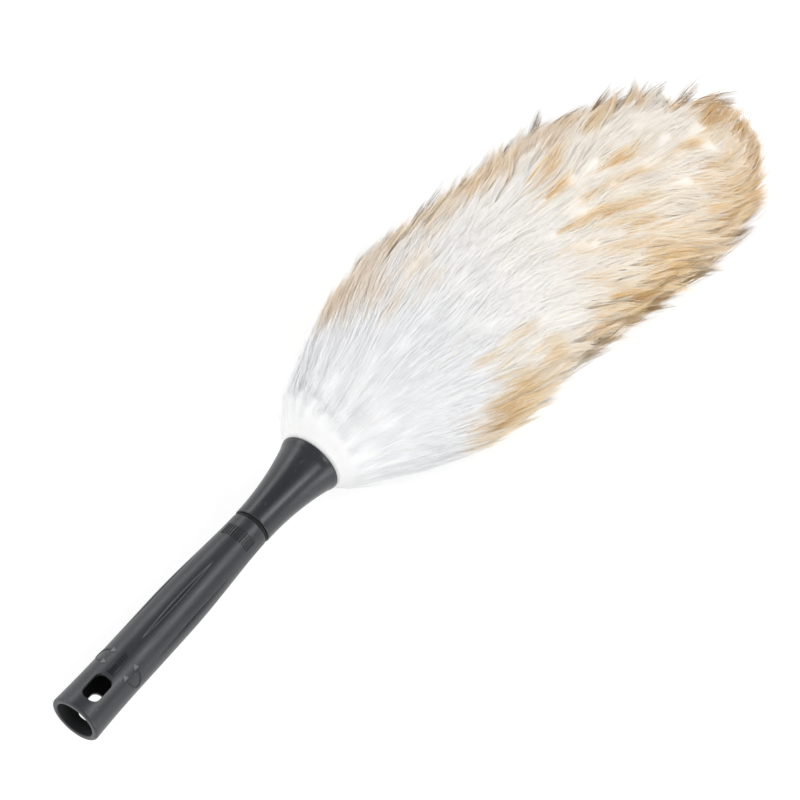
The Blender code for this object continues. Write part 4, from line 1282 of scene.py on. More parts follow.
def lip_painted_shade(x, radius):
    """Painted shade on the rounded edge of the lip, seen against the wool."""
    if radius < LIP_RADIUS - 2 * LIP_ROUND:
        return 0.0
    past = x - (COLLAR_END - LIP_SHADE_FROM * LIP_ROUND)
    return min(max(past / LIP_ROUND, 0.0), 1.0) * LIP_SHADE


def make_grip(finish):
    bm = turned(grip_outline())
    press_creases(bm)
    press_socket_ribs(bm)
    grip = new_object("grip_moulding", bm, finish, GRIP_BEND_SHARP)
    pole_start = SOCKET_DEPTH + SOCKET_STEP / 2
    pole_end = pole_start + POLE_THREAD_DEPTH
    recess = THREAD_START - HEAD_THREAD_RECESS
    combine(
        grip,
        "DIFFERENCE",
        slot_tool(),
        female_thread_tool("pole_thread_tool", pole_start, pole_end, pole_start),
        female_thread_tool("head_thread_tool", recess, GRIP_LENGTH + THREAD_PITCH, THREAD_START),
    )
    shade_smooth(grip.data, GRIP_BEND_SHARP)
    paint_hollow_shade(grip.data, grip_painted_shade)
    return grip


def make_ring(finish):
    bore = THREAD_RADIUS + THREAD_GAP
    middle = RING_START + RING_WIDTH / 2
    half = RING_RIDGE_WIDTH / 2
    end = RING_START + RING_WIDTH
    outline = [(RING_START, bore)]
    outline += [(RING_START, RING_RADIUS - RING_EDGE), (RING_START + RING_EDGE, RING_RADIUS)]
    outline += [(middle - 2 * half, RING_RADIUS)]
    outline += arc(middle, RING_RIDGE_RADIUS - half, half, 170, 10, 8)
    outline += [(middle + 2 * half, RING_RADIUS)]
    outline += [(end - RING_EDGE, RING_RADIUS), (end, RING_RADIUS - RING_EDGE)]
    outline += [(end, bore)]
    return new_object("groove_ring", turned(outline), finish)


# Bell collar

def collar_radius(x):
    """Outer radius of the bell's plain curve, without the step of its lip."""
    share = max(x - COLLAR_START, 0.0) / COLLAR_LENGTH
    return COLLAR_NECK_RADIUS + (LIP_RADIUS - COLLAR_NECK_RADIUS) * share**BELL_POWER


def collar_outline():
    """The bell, its stepped lip, the pocket for the sleeve, the core's tube and a solid spigot."""
    edge = COLLAR_START + COLLAR_EDGE_ROUND
    lip_start = COLLAR_END - LIP_LENGTH
    pocket = COLLAR_START + POCKET_START
    outline = [(SPIGOT_START, SPIGOT_BORE + SPIGOT_BORE_CHAMFER)]
    outline += [(SPIGOT_START, THREAD_ROOT - SPIGOT_CHAMFER)]
    outline += [(SPIGOT_START + SPIGOT_CHAMFER, THREAD_ROOT), (COLLAR_START, THREAD_ROOT)]
    outline += arc(edge, COLLAR_NECK_RADIUS - COLLAR_EDGE_ROUND, COLLAR_EDGE_ROUND, 180, 90, 6)
    outline += [(x, collar_radius(x)) for x in between(edge, lip_start, 44)[1:]]
    for x in between(lip_start, COLLAR_END - LIP_ROUND, 14)[1:]:
        rise = min((x - lip_start) / LIP_RISE_LENGTH, 1.0)
        fall = max((x - lip_start) / (LIP_LENGTH - LIP_ROUND), 0.0) ** 3
        outline.append((x, collar_radius(x) + LIP_STEP * (rise - fall * LIP_FALL)))
    outline += arc(COLLAR_END - LIP_ROUND, LIP_RADIUS - LIP_ROUND, LIP_ROUND, 76, 0, 8)
    outline += [(COLLAR_END, LIP_RADIUS - BELL_WALL + GAP), (COLLAR_END - GAP, LIP_RADIUS - BELL_WALL)]
    inner_places = between(lip_start, pocket + POCKET_CORNER, 24)
    outline += [(x, collar_radius(x) - BELL_WALL) for x in inner_places]
    outline += [(pocket, collar_radius(pocket) - BELL_WALL - POCKET_CORNER), (pocket, TUBE_RADIUS)]
    outline += [(TUBE_END, TUBE_RADIUS), (TUBE_END, TUBE_BORE), (WEB_END, TUBE_BORE)]
    outline += [(WEB_END, SCREW_HOLE), (WEB_START, SCREW_HOLE), (WEB_START, SPIGOT_BORE)]
    outline += [(SPIGOT_START + SPIGOT_BORE_CHAMFER, SPIGOT_BORE)]
    return outline


def make_collar(finish):
    collar = new_object("collar_moulding", turned(collar_outline()), finish, COLLAR_BEND_SHARP)
    root = THREAD_ROOT - OVERLAP
    sizes = (root, THREAD_RADIUS, THREAD_CREST, THREAD_FLANK)
    rod = threaded_rod(THREAD_START, THREAD_END, *sizes, THREAD_START)
    thread = new_object("spigot_thread_tool", rod, finish)
    middle = Matrix.Translation(((THREAD_START + THREAD_END) / 2, 0.0, 0.0))
    bore = bmesh.new()
    bmesh.ops.create_cone(
        bore,
        cap_ends=True,
        segments=48,
        radius1=(SPIGOT_BORE + root) / 2,
        radius2=(SPIGOT_BORE + root) / 2,
        depth=HEAD_THREAD_LENGTH + 2 * CUT_BEYOND,
        matrix=middle @ Matrix.Rotation(math.pi / 2, 4, "Y"),
    )
    combine(thread, "DIFFERENCE", new_object("spigot_hollow_tool", bore, finish))
    combine(collar, "UNION", thread)
    shade_smooth(collar.data, COLLAR_BEND_SHARP)
    paint_hollow_shade(collar.data, lip_painted_shade)
    return collar


# Sleeve, seam and twine

def middle_line(distance):
    """The place on the duster's middle line at this distance, and the level side direction."""
    if distance <= BEND_START:
        return Vector((distance, 0.0, 0.0)), Vector((0.0, 1.0, 0.0))
    angle = (distance - BEND_START) / BEND_RADIUS
    side = Vector((math.sin(angle), math.cos(angle), 0.0))
    return Vector((BEND_START, -BEND_RADIUS, 0.0)) + side * BEND_RADIUS, side


def off_middle(distance, radius, angle):
    """A point this far off the middle line, at an angle from its side upwards."""
    place, side = middle_line(distance)
    return place + side * radius * math.cos(angle) + Vector((0.0, 0.0, radius * math.sin(angle)))


def pelt_bore(distance):
    """Inner radius of the sleeve: wide over the collar's tube, then close round the core."""
    wide = TUBE_RADIUS + GAP
    share = min(max((distance - TUBE_END - GAP) / PELT_STEP_LENGTH, 0.0), 1.0)
    return wide + (PELT_BORE - wide) * share * share * (3.0 - 2.0 * share)


def pelt_ring(distance, radius, seamed):
    """A ring of the sleeve, with the valley of its seam at the bottom and a faint grain outside."""
    points = []
    for step in range(PELT_SIDES):
        angle = math.tau * step / PELT_SIDES
        here = radius
        if seamed:
            off = abs(math.remainder(angle - 3 * math.pi / 2, math.tau))
            wave = Vector((distance * PELT_WAVES[0], angle * PELT_WAVES[1], 0.0))
            rough = 1.0 + noise.noise(wave)
            here -= SEAM_DEPTH * max(1.0 - (off / SEAM_HALF_ANGLE) ** 2, 0.0)
            here -= PELT_GRAIN * rough / 2
        points.append(off_middle(distance, here, angle))
    return points


def pelt_cap(angle, thickness):
    """Distance and radius on the sleeve's closed end, this far outside the core's gap."""
    reach = CORE_END - CORE_END_ROUND + (CORE_END_ROUND + GAP + thickness) * math.sin(angle)
    return reach, PELT_BORE - CORE_END_ROUND + (CORE_END_ROUND + thickness) * math.cos(angle)


def make_pelt(finish):
    caps = [math.pi / 2 * step / 8 for step in range(1, 8)]
    distances = between(PELT_START, TUBE_END + GAP, 12)
    distances += between(TUBE_END + GAP, TUBE_END + GAP + PELT_STEP_LENGTH, 8)[1:]
    distances += between(TUBE_END + GAP + PELT_STEP_LENGTH, CORE_END - CORE_END_ROUND, 110)[1:]
    rows = [[middle_line(CORE_END + GAP)[0]]]
    rows += [pelt_ring(*pelt_cap(angle, 0.0), False) for angle in reversed(caps)]
    rows += [pelt_ring(d, pelt_bore(d), False) for d in reversed(distances)]
    rows += [pelt_ring(d, pelt_bore(d) + PELT_THICKNESS, True) for d in distances]
    rows += [pelt_ring(*pelt_cap(angle, PELT_THICKNESS), False) for angle in caps]
    rows.append([middle_line(PELT_END)[0]])
    return new_object("pelt_tube", grid_skin(rows), finish)


def swept(name, points, radius, finish):
    """A round thread along the points."""
    curve = bpy.data.curves.new(name, "CURVE")
    curve.dimensions = "3D"
    curve.bevel_depth = radius
    curve.bevel_resolution = 3
    curve.use_fill_caps = True
    curve.materials.append(finish)
    spline = curve.splines.new("POLY")
    spline.points.add(len(points) - 1)
    for target, point in zip(spline.points, points):
        target.co = (*(point + BUTT), 1.0)
    return add_object(name, curve)


def joined(name, things):
    """One mesh object of several swept threads."""
    bm = bmesh.new()
    finish = things[0].data.materials[0]
    bpy.context.view_layer.update()
    view = bpy.context.evaluated_depsgraph_get()
    for thing in things:
        mesh = bpy.data.meshes.new_from_object(thing.evaluated_get(view))
        bm.from_mesh(mesh)
        bpy.data.objects.remove(thing, do_unlink=True)
    bm.transform(Matrix.Translation(-BUTT))
    return new_object(name, bm, finish)


def make_seam(finish):
    """One zigzag thread along the valley at the bottom of the sleeve, rounded at its turns."""
    start = TUBE_END + GAP + PELT_STEP_LENGTH
    end = CORE_END - CORE_END_ROUND - SEAM_END_MARGIN
    stitches = round((end - start) / SEAM_STITCH)
    depth = PELT_BORE + PELT_THICKNESS - SEAM_THREAD - SEAM_BELOW_SKIN
    fine = 6
    points = []
    for step in range(2 * stitches * fine + 1):
        place, side = middle_line(start + (end - start) * step / (2 * stitches * fine))
        wave = math.cos(math.pi * step / fine)
        across = -SEAM_HALF_WIDTH * math.copysign(abs(wave) ** SEAM_TURN_POWER, wave)
        points.append(place + side * across - Vector((0.0, 0.0, depth)))
    return joined("seam_stitches", [swept("stitches", points, SEAM_THREAD, finish)])


def make_tie(finish):
    """Two plies twisted into twine and wound side by side round the sleeve."""
    radius = TUBE_RADIUS + GAP + PELT_THICKNESS + GAP + TIE_RADIUS
    pitch = 2 * TIE_RADIUS + TIE_SPACE
    start = TUBE_END - TIE_FROM_TUBE_END - TIE_RADIUS - TIE_TURNS * pitch
    steps = 96
    reach = TIE_RADIUS - TIE_PLY_RADIUS
    plies = []
    for ply in range(2):
        points = []
        for step in range(steps * TIE_TURNS + 1):
            angle = math.tau * step / steps
            twist = angle * TIE_PLY_TURNS + math.pi * ply
            out = radius + reach * math.cos(twist)
            x = start + pitch * angle / math.tau + reach * math.sin(twist)
            points.append(Vector((x, out * math.sin(angle), out * math.cos(angle))))
        plies.append(swept("twine_ply", points, TIE_PLY_RADIUS, finish))
    return joined("neck_twine", plies)


# Wool: its surface, worked out for whole arrays of places at once

def ease(low, high, value):
    """A smooth step from 0 at low to 1 at high."""
    share = np.clip((value - low) / (high - low), 0.0, 1.0)
    return share * share * (3.0 - 2.0 * share)


def along_outline(share, column):
    """Radius (1) or side shift (2) of the wool at these shares of its length, on a smooth curve."""
    places, values = WOOL_OUTLINE[:, 0], WOOL_OUTLINE[:, column] * WOOL_RADIUS
    slopes = np.gradient(values, places)
    share = np.clip(share, places[0], 1.0)
    row = np.clip(np.searchsorted(places, share, "right") - 1, 0, len(places) - 2)
    width = places[row + 1] - places[row]
    step = (share - places[row]) / width
    turn = step * (1.0 - step)
    return (
        values[row]
        + (values[row + 1] - values[row]) * ease(0.0, 1.0, step)
        + turn * (1.0 - step) * width * slopes[row]
        - turn * step * width * slopes[row + 1]
    )


def lock_rise(distance, angle, radius):
    """How high the locks stand, from 0 between locks to 1 at a lock's peak."""
    highest = np.zeros_like(distance)
    last_row = np.floor(distance / LOCK_SPACE)
    near_column = np.round(angle * LOCKS_ROUND / math.tau)
    for back in range(3):
        for beside in range(-2, 3):
            row, column = last_row - back, near_column + beside
            number = np.mod(column, LOCKS_ROUND)
            stray = LOCK_STRAY * np.sin(LOCK_STRAY_BY_ROW * row + LOCK_STRAY_BY_COLUMN * number)
            past = distance - (row + 0.5 * np.mod(number, 2) + stray) * LOCK_SPACE
            along = past / LOCK_LENGTH
            slopes = np.minimum(along / LOCK_PEAK, (1.0 - along) / (1.0 - LOCK_PEAK))
            turn = math.tau * column / LOCKS_ROUND
            across = (angle - turn) * radius + LOCK_LEAN * np.cos(turn) * past
            dome = np.clip(1.0 - (across / LOCK_HALF_WIDTH) ** 2, 0.0, 1.0)
            highest = np.maximum(highest, np.clip(slopes, 0.0, 1.0) * dome)
    return highest


def looseness(share, angle):
    """How loose the wool is: 0 where it leaves the collar, 1 where its locks stand free."""
    start = LOCKS_START - LOCKS_SOONER * np.cos(angle)
    return ease(0.0, 1.0, (share - start) / LOCKS_COME)


def lock_dip(share, angle, radius):
    """How far the wool dips below its outline: nothing at a lock's peak, most between locks."""
    deep = LOCK_DEPTH * (1.0 - lock_rise(share * WOOL_LENGTH, angle, radius))
    return deep * looseness(share, angle) * ease(*LOCKS_SHOWN, np.sin(angle))


def parting_dip(share, angle, radius):
    """The short parting of the wool before the tip."""
    (start_along, start_across), (end_along, end_across) = PARTING
    along = COLLAR_END + WOOL_LENGTH * share - start_along
    across = radius * np.cos(angle) + along_outline(share, 2) - start_across
    run = np.array((end_along - start_along, end_across - start_across))
    length = np.hypot(*run)
    past = (along * run[0] + across * run[1]) / length
    off = (across * run[0] - along * run[1]) / length
    begun = ease(-PARTING_FADE, 0.0, past)
    ended = ease(length + PARTING_OVERRUN, length * PARTING_FULL, past)
    near = begun * ended * (np.sin(angle) > 0.0)
    return PARTING_DEPTH * near * np.exp(-((off / PARTING_WIDTH) ** 2))


def soft_dip(share, angle, radius):
    """The dips of the combed wool: its locks, part filled where it faces up, and its parting."""
    filled = TOP_FILL * ease(*FACING_UP, np.sin(angle))
    locks = lock_dip(share, angle, radius) * (1.0 - filled) * radius / WOOL_RADIUS
    return locks + parting_dip(share, angle, radius)


def middle_arrays(distance):
    """Place, side and forward directions on the duster's middle line."""
    bend = np.clip((distance - BEND_START) / BEND_RADIUS, 0.0, None)
    straight = np.minimum(distance, BEND_START)
    level = np.zeros_like(distance)
    x, y = straight + BEND_RADIUS * np.sin(bend), BEND_RADIUS * (np.cos(bend) - 1.0)
    place = np.stack([x, y, level], -1)
    side = np.stack([np.sin(bend), np.cos(bend), level], -1)
    forward = np.stack([np.cos(bend), -np.sin(bend), level], -1)
    return place, side, forward


def neck_fold(share, angle):
    """The lobe of wool beside the collar's lip, and the shallow fold that ends it."""
    turn = np.remainder(angle + math.pi, math.tau) - math.pi
    off = share - (FOLD_PLACE - FOLD_SLANT * np.clip(turn, *FOLD_TURNS))
    lobe = np.exp(-(((off + LOBE_BEFORE_FOLD) / LOBE_WIDTH) ** 2)) * LOBE_HEIGHT
    crease = np.exp(-((off / FOLD_WIDTH) ** 2)) * FOLD_DEPTH
    shown = ease(*FOLD_COMES, turn) * ease(*FOLD_GOES, turn)
    return (lobe - crease) * shown


def section_sizes(share):
    """The section's radius, its height above and below its middle, and its lower squareness."""
    radius = along_outline(share, 1)
    full = radius / WOOL_RADIUS
    top = radius * (1.0 - WOOL_TOP_SETTLE * full**2)
    blend = radius**WOOL_BELLY_BLEND + WOOL_BELLY_DEPTH**WOOL_BELLY_BLEND
    belly = radius * WOOL_BELLY_DEPTH / blend ** (1 / WOOL_BELLY_BLEND)
    return radius, top, belly, 2.0 + WOOL_BELLY_SQUARENESS * full**2


def wool_surface(share, angle, inset):
    """Points on the wool, this far inside the surface of the part's wool."""
    place, side, _ = middle_arrays(COLLAR_END + WOOL_LENGTH * share)
    radius, top, belly, square = section_sizes(share)
    across, up = np.cos(angle), np.sin(angle)
    low_across = np.copysign(np.abs(across) ** (2.0 / square), across)
    low_up = -belly * np.abs(up) ** (2.0 / square)
    out = radius * np.where(up >= 0.0, across, low_across)
    height = np.where(up >= 0.0, top * up, low_up)
    dip = soft_dip(share, angle, radius)
    keep = 1.0 - (inset + dip - neck_fold(share, angle)) / np.maximum(radius, LEAST_RADIUS)
    keep = np.maximum(keep, LEAST_KEPT)
    height = np.maximum(height * keep, -AXIS_HEIGHT)
    shift = along_outline(share, 2)
    points = place + side * (shift + out * keep)[..., None]
    points[..., 2] += height
    return points


def unit(vectors):
    return vectors / np.maximum(np.linalg.norm(vectors, axis=-1, keepdims=True), 1e-12)


def wool_directions(share, angle):
    """Forward along the surface and out of it."""
    step_share, step_angle = 0.004, 0.02
    near = wool_surface(share - step_share, angle, 0.0)
    far = wool_surface(share + step_share, angle, 0.0)
    left = wool_surface(share, angle - step_angle, 0.0)
    right = wool_surface(share, angle + step_angle, 0.0)
    forward = unit(far - near)
    return forward, unit(np.cross(right - left, forward))


def on_duster(points):
    """How far along the duster's middle line points lie, and how far to its side."""
    x, y = points[..., 0], points[..., 1]
    curved = x > BEND_START
    bend = np.arctan2(x - BEND_START, y + BEND_RADIUS)
    along = np.where(curved, BEND_START + BEND_RADIUS * bend, x)
    across = np.where(curved, np.hypot(x - BEND_START, y + BEND_RADIUS) - BEND_RADIUS, y)
    return along, across


def height_above(points, locks=1.0):
    """Roughly how far points stand out of the wool's surface, with this share of its locks."""
    distance, across = on_duster(points)
    z = points[..., 2]
    share = (distance - COLLAR_END) / WOOL_LENGTH
    held = np.clip(share, FIRST_RING, LAST_ROOT)
    radius, top, belly, square = section_sizes(held)
    step = 0.01
    growth = along_outline(held + step, 1) - along_outline(held - step, 1)
    slope = growth / (2 * step * WOOL_LENGTH)
    off = (across - along_outline(held, 2)) / radius
    above = np.hypot(off, z / top)
    low_off, low_z = np.abs(off) ** (square / 2), (np.abs(z) / belly) ** (square / 2)
    below = np.hypot(low_off, low_z) ** (2 / square)
    low_angle = np.arctan2(-low_z, np.copysign(low_off, off))
    angle = np.where(z >= 0.0, np.arctan2(z / top, off), low_angle)
    dip = locks * soft_dip(held, np.mod(angle, math.tau), radius)
    out = ((np.where(z >= 0.0, above, below) - 1.0) * radius + dip) / np.sqrt(1.0 + slope**2)
    beyond = (share - LAST_ROOT) * WOOL_LENGTH
    return np.where(share > LAST_ROOT, np.hypot(np.maximum(out, 0.0), beyond), out)


# Wool fibres

def lay_tufts(draw):
    """Where each tuft is rooted, as shares of the wool's length and angles round it."""
    shares, angles = [], []
    steps = int(WOOL_LENGTH * LAST_ROOT / TUFT_SPACING)
    for row in range(steps):
        share = (row + 0.5) / steps * LAST_ROOT
        radius = float(along_outline(np.array(share), 1))
        count = max(int(math.tau * radius * TUFTS_ROUND / TUFT_SPACING), FEWEST_TUFTS)
        turn = draw.uniform(0.0, math.tau)
        stray = draw.uniform(-ROOT_STRAY_ROUND, ROOT_STRAY_ROUND, count)
        angles.append(turn + math.tau * (np.arange(count) + stray) / count)
        stray = draw.uniform(-ROOT_STRAY_ALONG, ROOT_STRAY_ALONG, count)
        shares.append(share + stray * LAST_ROOT / steps)
    share = np.concatenate(shares)
    angle = np.remainder(np.concatenate(angles), math.tau)
    thinned = draw.uniform(0.0, 1.0, len(angle)) < THINNED_UNDERNEATH
    kept = ~((np.sin(angle) < UNDERNEATH) & thinned)
    return np.clip(share[kept], FIRST_ROOT, LAST_ROOT), angle[kept]


def patch_tan(points):
    """How tan and how golden the patches make the wool at these points."""
    along, across = on_duster(points)
    tan = np.zeros(len(points))
    gold = np.full(len(points), 0.5)
    shown = TAN_BELOW + (1.0 - TAN_BELOW) * ease(*TAN_HEIGHTS, points[:, 2])
    for patch_along, patch_across, half_length, half_width, strength, hue in TAN_PATCHES:
        turn = combed_turn(np.array([patch_along]), np.array([patch_across]))[0]
        on, aside = along - patch_along, across - patch_across
        down = (on * math.cos(turn) + aside * math.sin(turn)) / half_length
        off = down**2 + ((aside * math.cos(turn) - on * math.sin(turn)) / half_width) ** 2
        here = strength * np.exp(-(off**1.5)) * shown
        gold = np.where(here > tan, hue, gold)
        tan = np.maximum(tan, here)
    return tan, gold


def tan_at(points, draw):
    """How tan and how golden the wool is at these points."""
    along, across = on_duster(points)
    tan, gold = patch_tan(points)
    waves = zip(along * UNDER_WAVES[0], across * UNDER_WAVES[1])
    cloud = np.array([noise.noise(Vector((on, aside, 3.0))) for on, aside in waves])
    under = ease(*UNDER_SHOWS, cloud) * ease(*UNDER_ALONG, along)
    tan = np.maximum(tan, np.where(points[:, 2] < UNDER_HEIGHT, under, 0.0))
    cream = sum(more * ease(start, end, along) for more, start, end in CREAM)
    cream += CREAM_SIDE * ease(*CREAM_SIDE_ACROSS, across) * ease(*CREAM_SIDE_ALONG, along)
    tan = np.maximum(tan * draw.uniform(*TAN_UNEVEN, len(points)), 0.0)
    stray = draw.uniform(0.0, 1.0, len(points)) < TAN_STRAYS
    tan = np.where(stray, tan + TAN_STRAY, tan)
    return np.clip(cream + tan * TAN_STRENGTH, 0.0, TAN_MOST), gold


def out_of_wool(points):
    """The direction straight out of the wool near these points, by which it is lit."""
    step = 0.004
    slopes = []
    for axis in range(3):
        move = np.zeros(3)
        move[axis] = step
        slopes.append(height_above(points + move, LIT_LOCKS) - height_above(points - move, LIT_LOCKS))
    return unit(np.stack(slopes, -1))


def combed_turn(along, across):
    """How far the wool turns towards +Y where it is combed, in radians."""
    off = np.hypot(along[:, None] - COMBED[:, 0], across[:, None] - COMBED[:, 1])
    weight = np.exp(-((off / COMBED_REACH) ** 2)) + COMBED_FAR / (off + COMBED_FAR_SOFT)
    return np.radians((weight * COMBED[:, 2]).sum(1) / weight.sum(1))


def side_reach(tip):
    """How much further out the wool reaches where a side tuft stands, or less at the notch."""
    along, across = on_duster(tip)
    reach = np.zeros(len(tip))
    for tuft_along, tuft_across, more in SIDE_TUFTS:
        out = unit(np.array([max(tuft_along - TIP_MIDDLE, 0.0), tuft_across]))
        off = np.hypot(along - tuft_along + more * out[0], across - tuft_across + more * out[1])
        reach += more * np.exp(-((off / SIDE_TUFT_SPREAD) ** 2))
    return reach * ease(*SIDE_TUFT_HEIGHTS, np.abs(tip[:, 2]))


def guide_tufts(draw):
    """Each tuft's root, directions, bend, length, and how loose and how gathered it is."""
    share, angle = lay_tufts(draw)
    count = len(share)
    _, normal = wool_directions(share, angle)
    _, side, middle_forward = middle_arrays(COLLAR_END + WOOL_LENGTH * share)
    across = np.cos(angle)
    loose = looseness(share, angle)
    edge = np.maximum(np.abs(across), ease(*FRINGE_TIP, share))
    fringe = ease(*FRINGE_ALONG, share) * ease(*FRINGE_ASIDE, edge)
    aside = along_outline(share, 1) * across + along_outline(share, 2)
    free = np.maximum(loose, FRINGE_WANDER * fringe)
    wander = draw.normal(0.0, 1.0, (count, 2)) * (WANDER_CLOSE + WANDER_LOOSE * free)[:, None]
    turn = combed_turn(COLLAR_END + WOOL_LENGTH * share, aside) + wander[:, 0]
    combed = middle_forward * np.cos(turn)[:, None] + side * np.sin(turn)[:, None]
    out = np.sum(combed * normal, axis=1)
    lift = LIFT_CLOSE + LIFT_LOOSE * loose + np.abs(wander[:, 1]) * LIFT_WANDER
    laid = LAID_FLAT - LAID_FLAT_LOOSE * loose - LAID_FLAT_FRINGE * fringe
    flatten = np.where(out > 0.0, laid, 1.0)
    aim = unit(combed + normal * (lift - out * flatten)[:, None])
    level = unit(np.cross(normal, aim))
    shorter = 1.0 - TIP_TUFTS_SHORTER * ease(*TIP_TUFTS, share)
    length = TUFT_LENGTH * draw.uniform(*TUFT_LENGTHS, count) * shorter
    uneven = PROUD_SHARE + PROUD_SHARE_FRINGE * fringe
    stand = np.clip(draw.normal(*PROUD_LOOSE, count), *PROUD_LIMITS)
    proud = PROUD + loose * uneven * stand
    climb = np.sum(aim * normal, axis=1)
    shallowest = body_inset(share, angle) + ROOT_PAST_BODY + ROOT_PAST_BODY_LOOSE * loose
    depth = np.clip(length * climb * ROOT_CLIMB - proud, shallowest, ROOT_DEEPEST)
    root = wool_surface(share, angle, depth)
    bend = np.zeros((count, 3))
    for _ in range(2):
        tip = root + aim * length[:, None] + bend
        bend -= normal * (height_above(tip) - proud)[:, None]
    tip = root + aim * length[:, None] + bend
    outward = out_of_wool(tip)
    reach = side_reach(tip)
    sideways = draw.normal(0.0, BEND_ASIDE, count)
    bend += outward * reach[:, None] + level * sideways[:, None] * length[:, None]
    gather = GATHER_LOOSE * loose + GATHER_FRINGE * fringe + GATHER_BY_REACH * np.maximum(reach, 0.0)
    return {
        "root": root,
        "aim": aim,
        "level": level,
        "normal": normal,
        "root normal": out_of_wool(root + normal * depth[:, None]),
        "tip normal": outward,
        "bend": bend,
        "length": length,
        "loose": np.maximum(loose, FRINGE_LOOSE * fringe),
        "gather": np.clip(gather, 0.0, GATHER_MOST),
        "share": share,
    }


def fibre_shape():
    """One fibre: a low three-sided taper, its ridge towards +Y, from its root at z = 0 to z = 1."""
    bm = bmesh.new()
    bmesh.ops.create_cone(
        bm,
        cap_ends=True,
        segments=3,
        radius1=1.0,
        radius2=0.0,
        depth=1.0,
        matrix=Matrix.Translation((0.0, 0.0, 0.5)),
    )
    bmesh.ops.remove_doubles(bm, verts=bm.verts[:], dist=1e-6)
    bmesh.ops.scale(bm, vec=FIBRE_SECTION, verts=bm.verts[:])
    for share in FIBRE_CUTS:
        bmesh.ops.bisect_plane(
            bm,
            geom=bm.verts[:] + bm.edges[:] + bm.faces[:],
            dist=1e-7,
            plane_co=(0.0, 0.0, share),
            plane_no=(0.0, 0.0, 1.0),
        )
    bmesh.ops.recalc_face_normals(bm, faces=bm.faces[:])
    return bm


def repeated_fibres(name, count, finish):
    """An object of this many copies of the fibre, and the mesh of one of them."""
    one = mesh_from("one_fibre", fibre_shape(), finish)
    one.shade_smooth()
    thing = add_object(name, one)
    copies = thing.modifiers.new("copies", "ARRAY")
    copies.count = count
    copies.use_relative_offset = False
    copies.use_constant_offset = True
    copies.constant_offset_displace = (0.0, 0.0, 2.0)
    apply_modifiers(thing)
    return thing, one


def times(direction, amount):
    """Each fibre's direction times its amounts, one for each point of the fibre."""
    return direction[:, None, :] * amount[..., None]


def shape_fibres(name, tufts, chosen, per_tuft, finish, draw):
    """Bends copies of the fibre along the chosen tufts, and colours and lights them."""
    tuft = np.repeat(chosen, per_tuft)
    count = len(tuft)
    thing, one = repeated_fibres(name, count, finish)
    shape = np.array([vertex.co for vertex in one.vertices])
    t = shape[:, 2]
    rim = shape[:, :2] / np.maximum(1.0 - t, 1e-6)[:, None]
    rim[t > 0.999] = 0.0
    own = {key: values[tuft] for key, values in tufts.items()}
    loose, level, normal, aim = own["loose"], own["level"], own["normal"], own["aim"]
    spread = np.sqrt(draw.uniform(0.0, 1.0, count)) * TUFT_RADIUS
    place_round = draw.uniform(0.0, math.tau, count)
    full = TUFT_FULLNESS_CLOSE + (1.0 - TUFT_FULLNESS_CLOSE) * loose
    shift_across = spread * np.cos(place_round)
    shift_out = spread * np.sin(place_round) * TUFT_FULLNESS * full
    stray = draw.uniform(-FIBRE_STRAY, FIBRE_STRAY, count)
    shift_along = stray * (1.0 - FIBRE_STRAY_LESS_LOOSE * loose)
    gather = GATHER + own["gather"] * draw.uniform(*GATHER_SPREAD, count)
    length = own["length"] * draw.uniform(*FIBRE_LENGTHS, count)
    keep = 1.0 - gather[:, None] * t**GATHER_POWER
    crimp = draw.uniform(0.0, CRIMP, count) * (CRIMP_CLOSE + (1.0 - CRIMP_CLOSE) * loose)
    phase, waves = draw.uniform(0.0, math.tau, count), draw.uniform(*CRIMP_WAVES, count)
    wave = crimp[:, None] * np.sin(phase[:, None] + math.tau * waves[:, None] * t)
    middle = own["root"][:, None, :] + times(aim, length[:, None] * t)
    middle = middle + times(own["bend"], t[None, :] ** 2)
    middle = middle + times(level, shift_across[:, None] * keep + wave)
    middle = middle + times(normal, shift_out[:, None] * keep)
    middle = middle + times(aim, shift_along[:, None])
    fine = FIBRES_FINE_AT_NECK + (1.0 - FIBRES_FINE_AT_NECK) * ease(*FIBRES_FINE_ALONG, own["share"])
    thick = FIBRE_THICKNESS * draw.uniform(*FIBRE_THICKNESSES, count) * fine
    taper = ease(*FIBRE_SWELL, t) * (1.0 - FIBRE_TAPER * t**FIBRE_TAPER_POWER) * thick[:, None]
    points = middle + times(level, taper * rim[:, 0]) + times(normal, taper * rim[:, 1])
    points[..., 2] = np.maximum(points[..., 2], FLOOR_CLEARANCE - AXIS_HEIGHT)
    mesh = thing.data
    mesh.vertices.foreach_set("co", (points + np.array(BUTT)).astype(np.float32).ravel())
    on = length * TAN_READ_AT + shift_along
    shown = own["root"] + aim * on[:, None] + own["bend"] * TAN_READ_AT**2
    colour_fibres(mesh, own, t, shown + level * shift_across[:, None], draw)
    surface = times(own["root normal"], 1.0 - t[None, :]) + times(own["tip normal"], t[None, :])
    surface[..., 2] += END_LIGHT * t
    soften(mesh, one, unit(surface), unit(points - middle + 1e-9), loose)
    bpy.data.meshes.remove(one)
    return thing


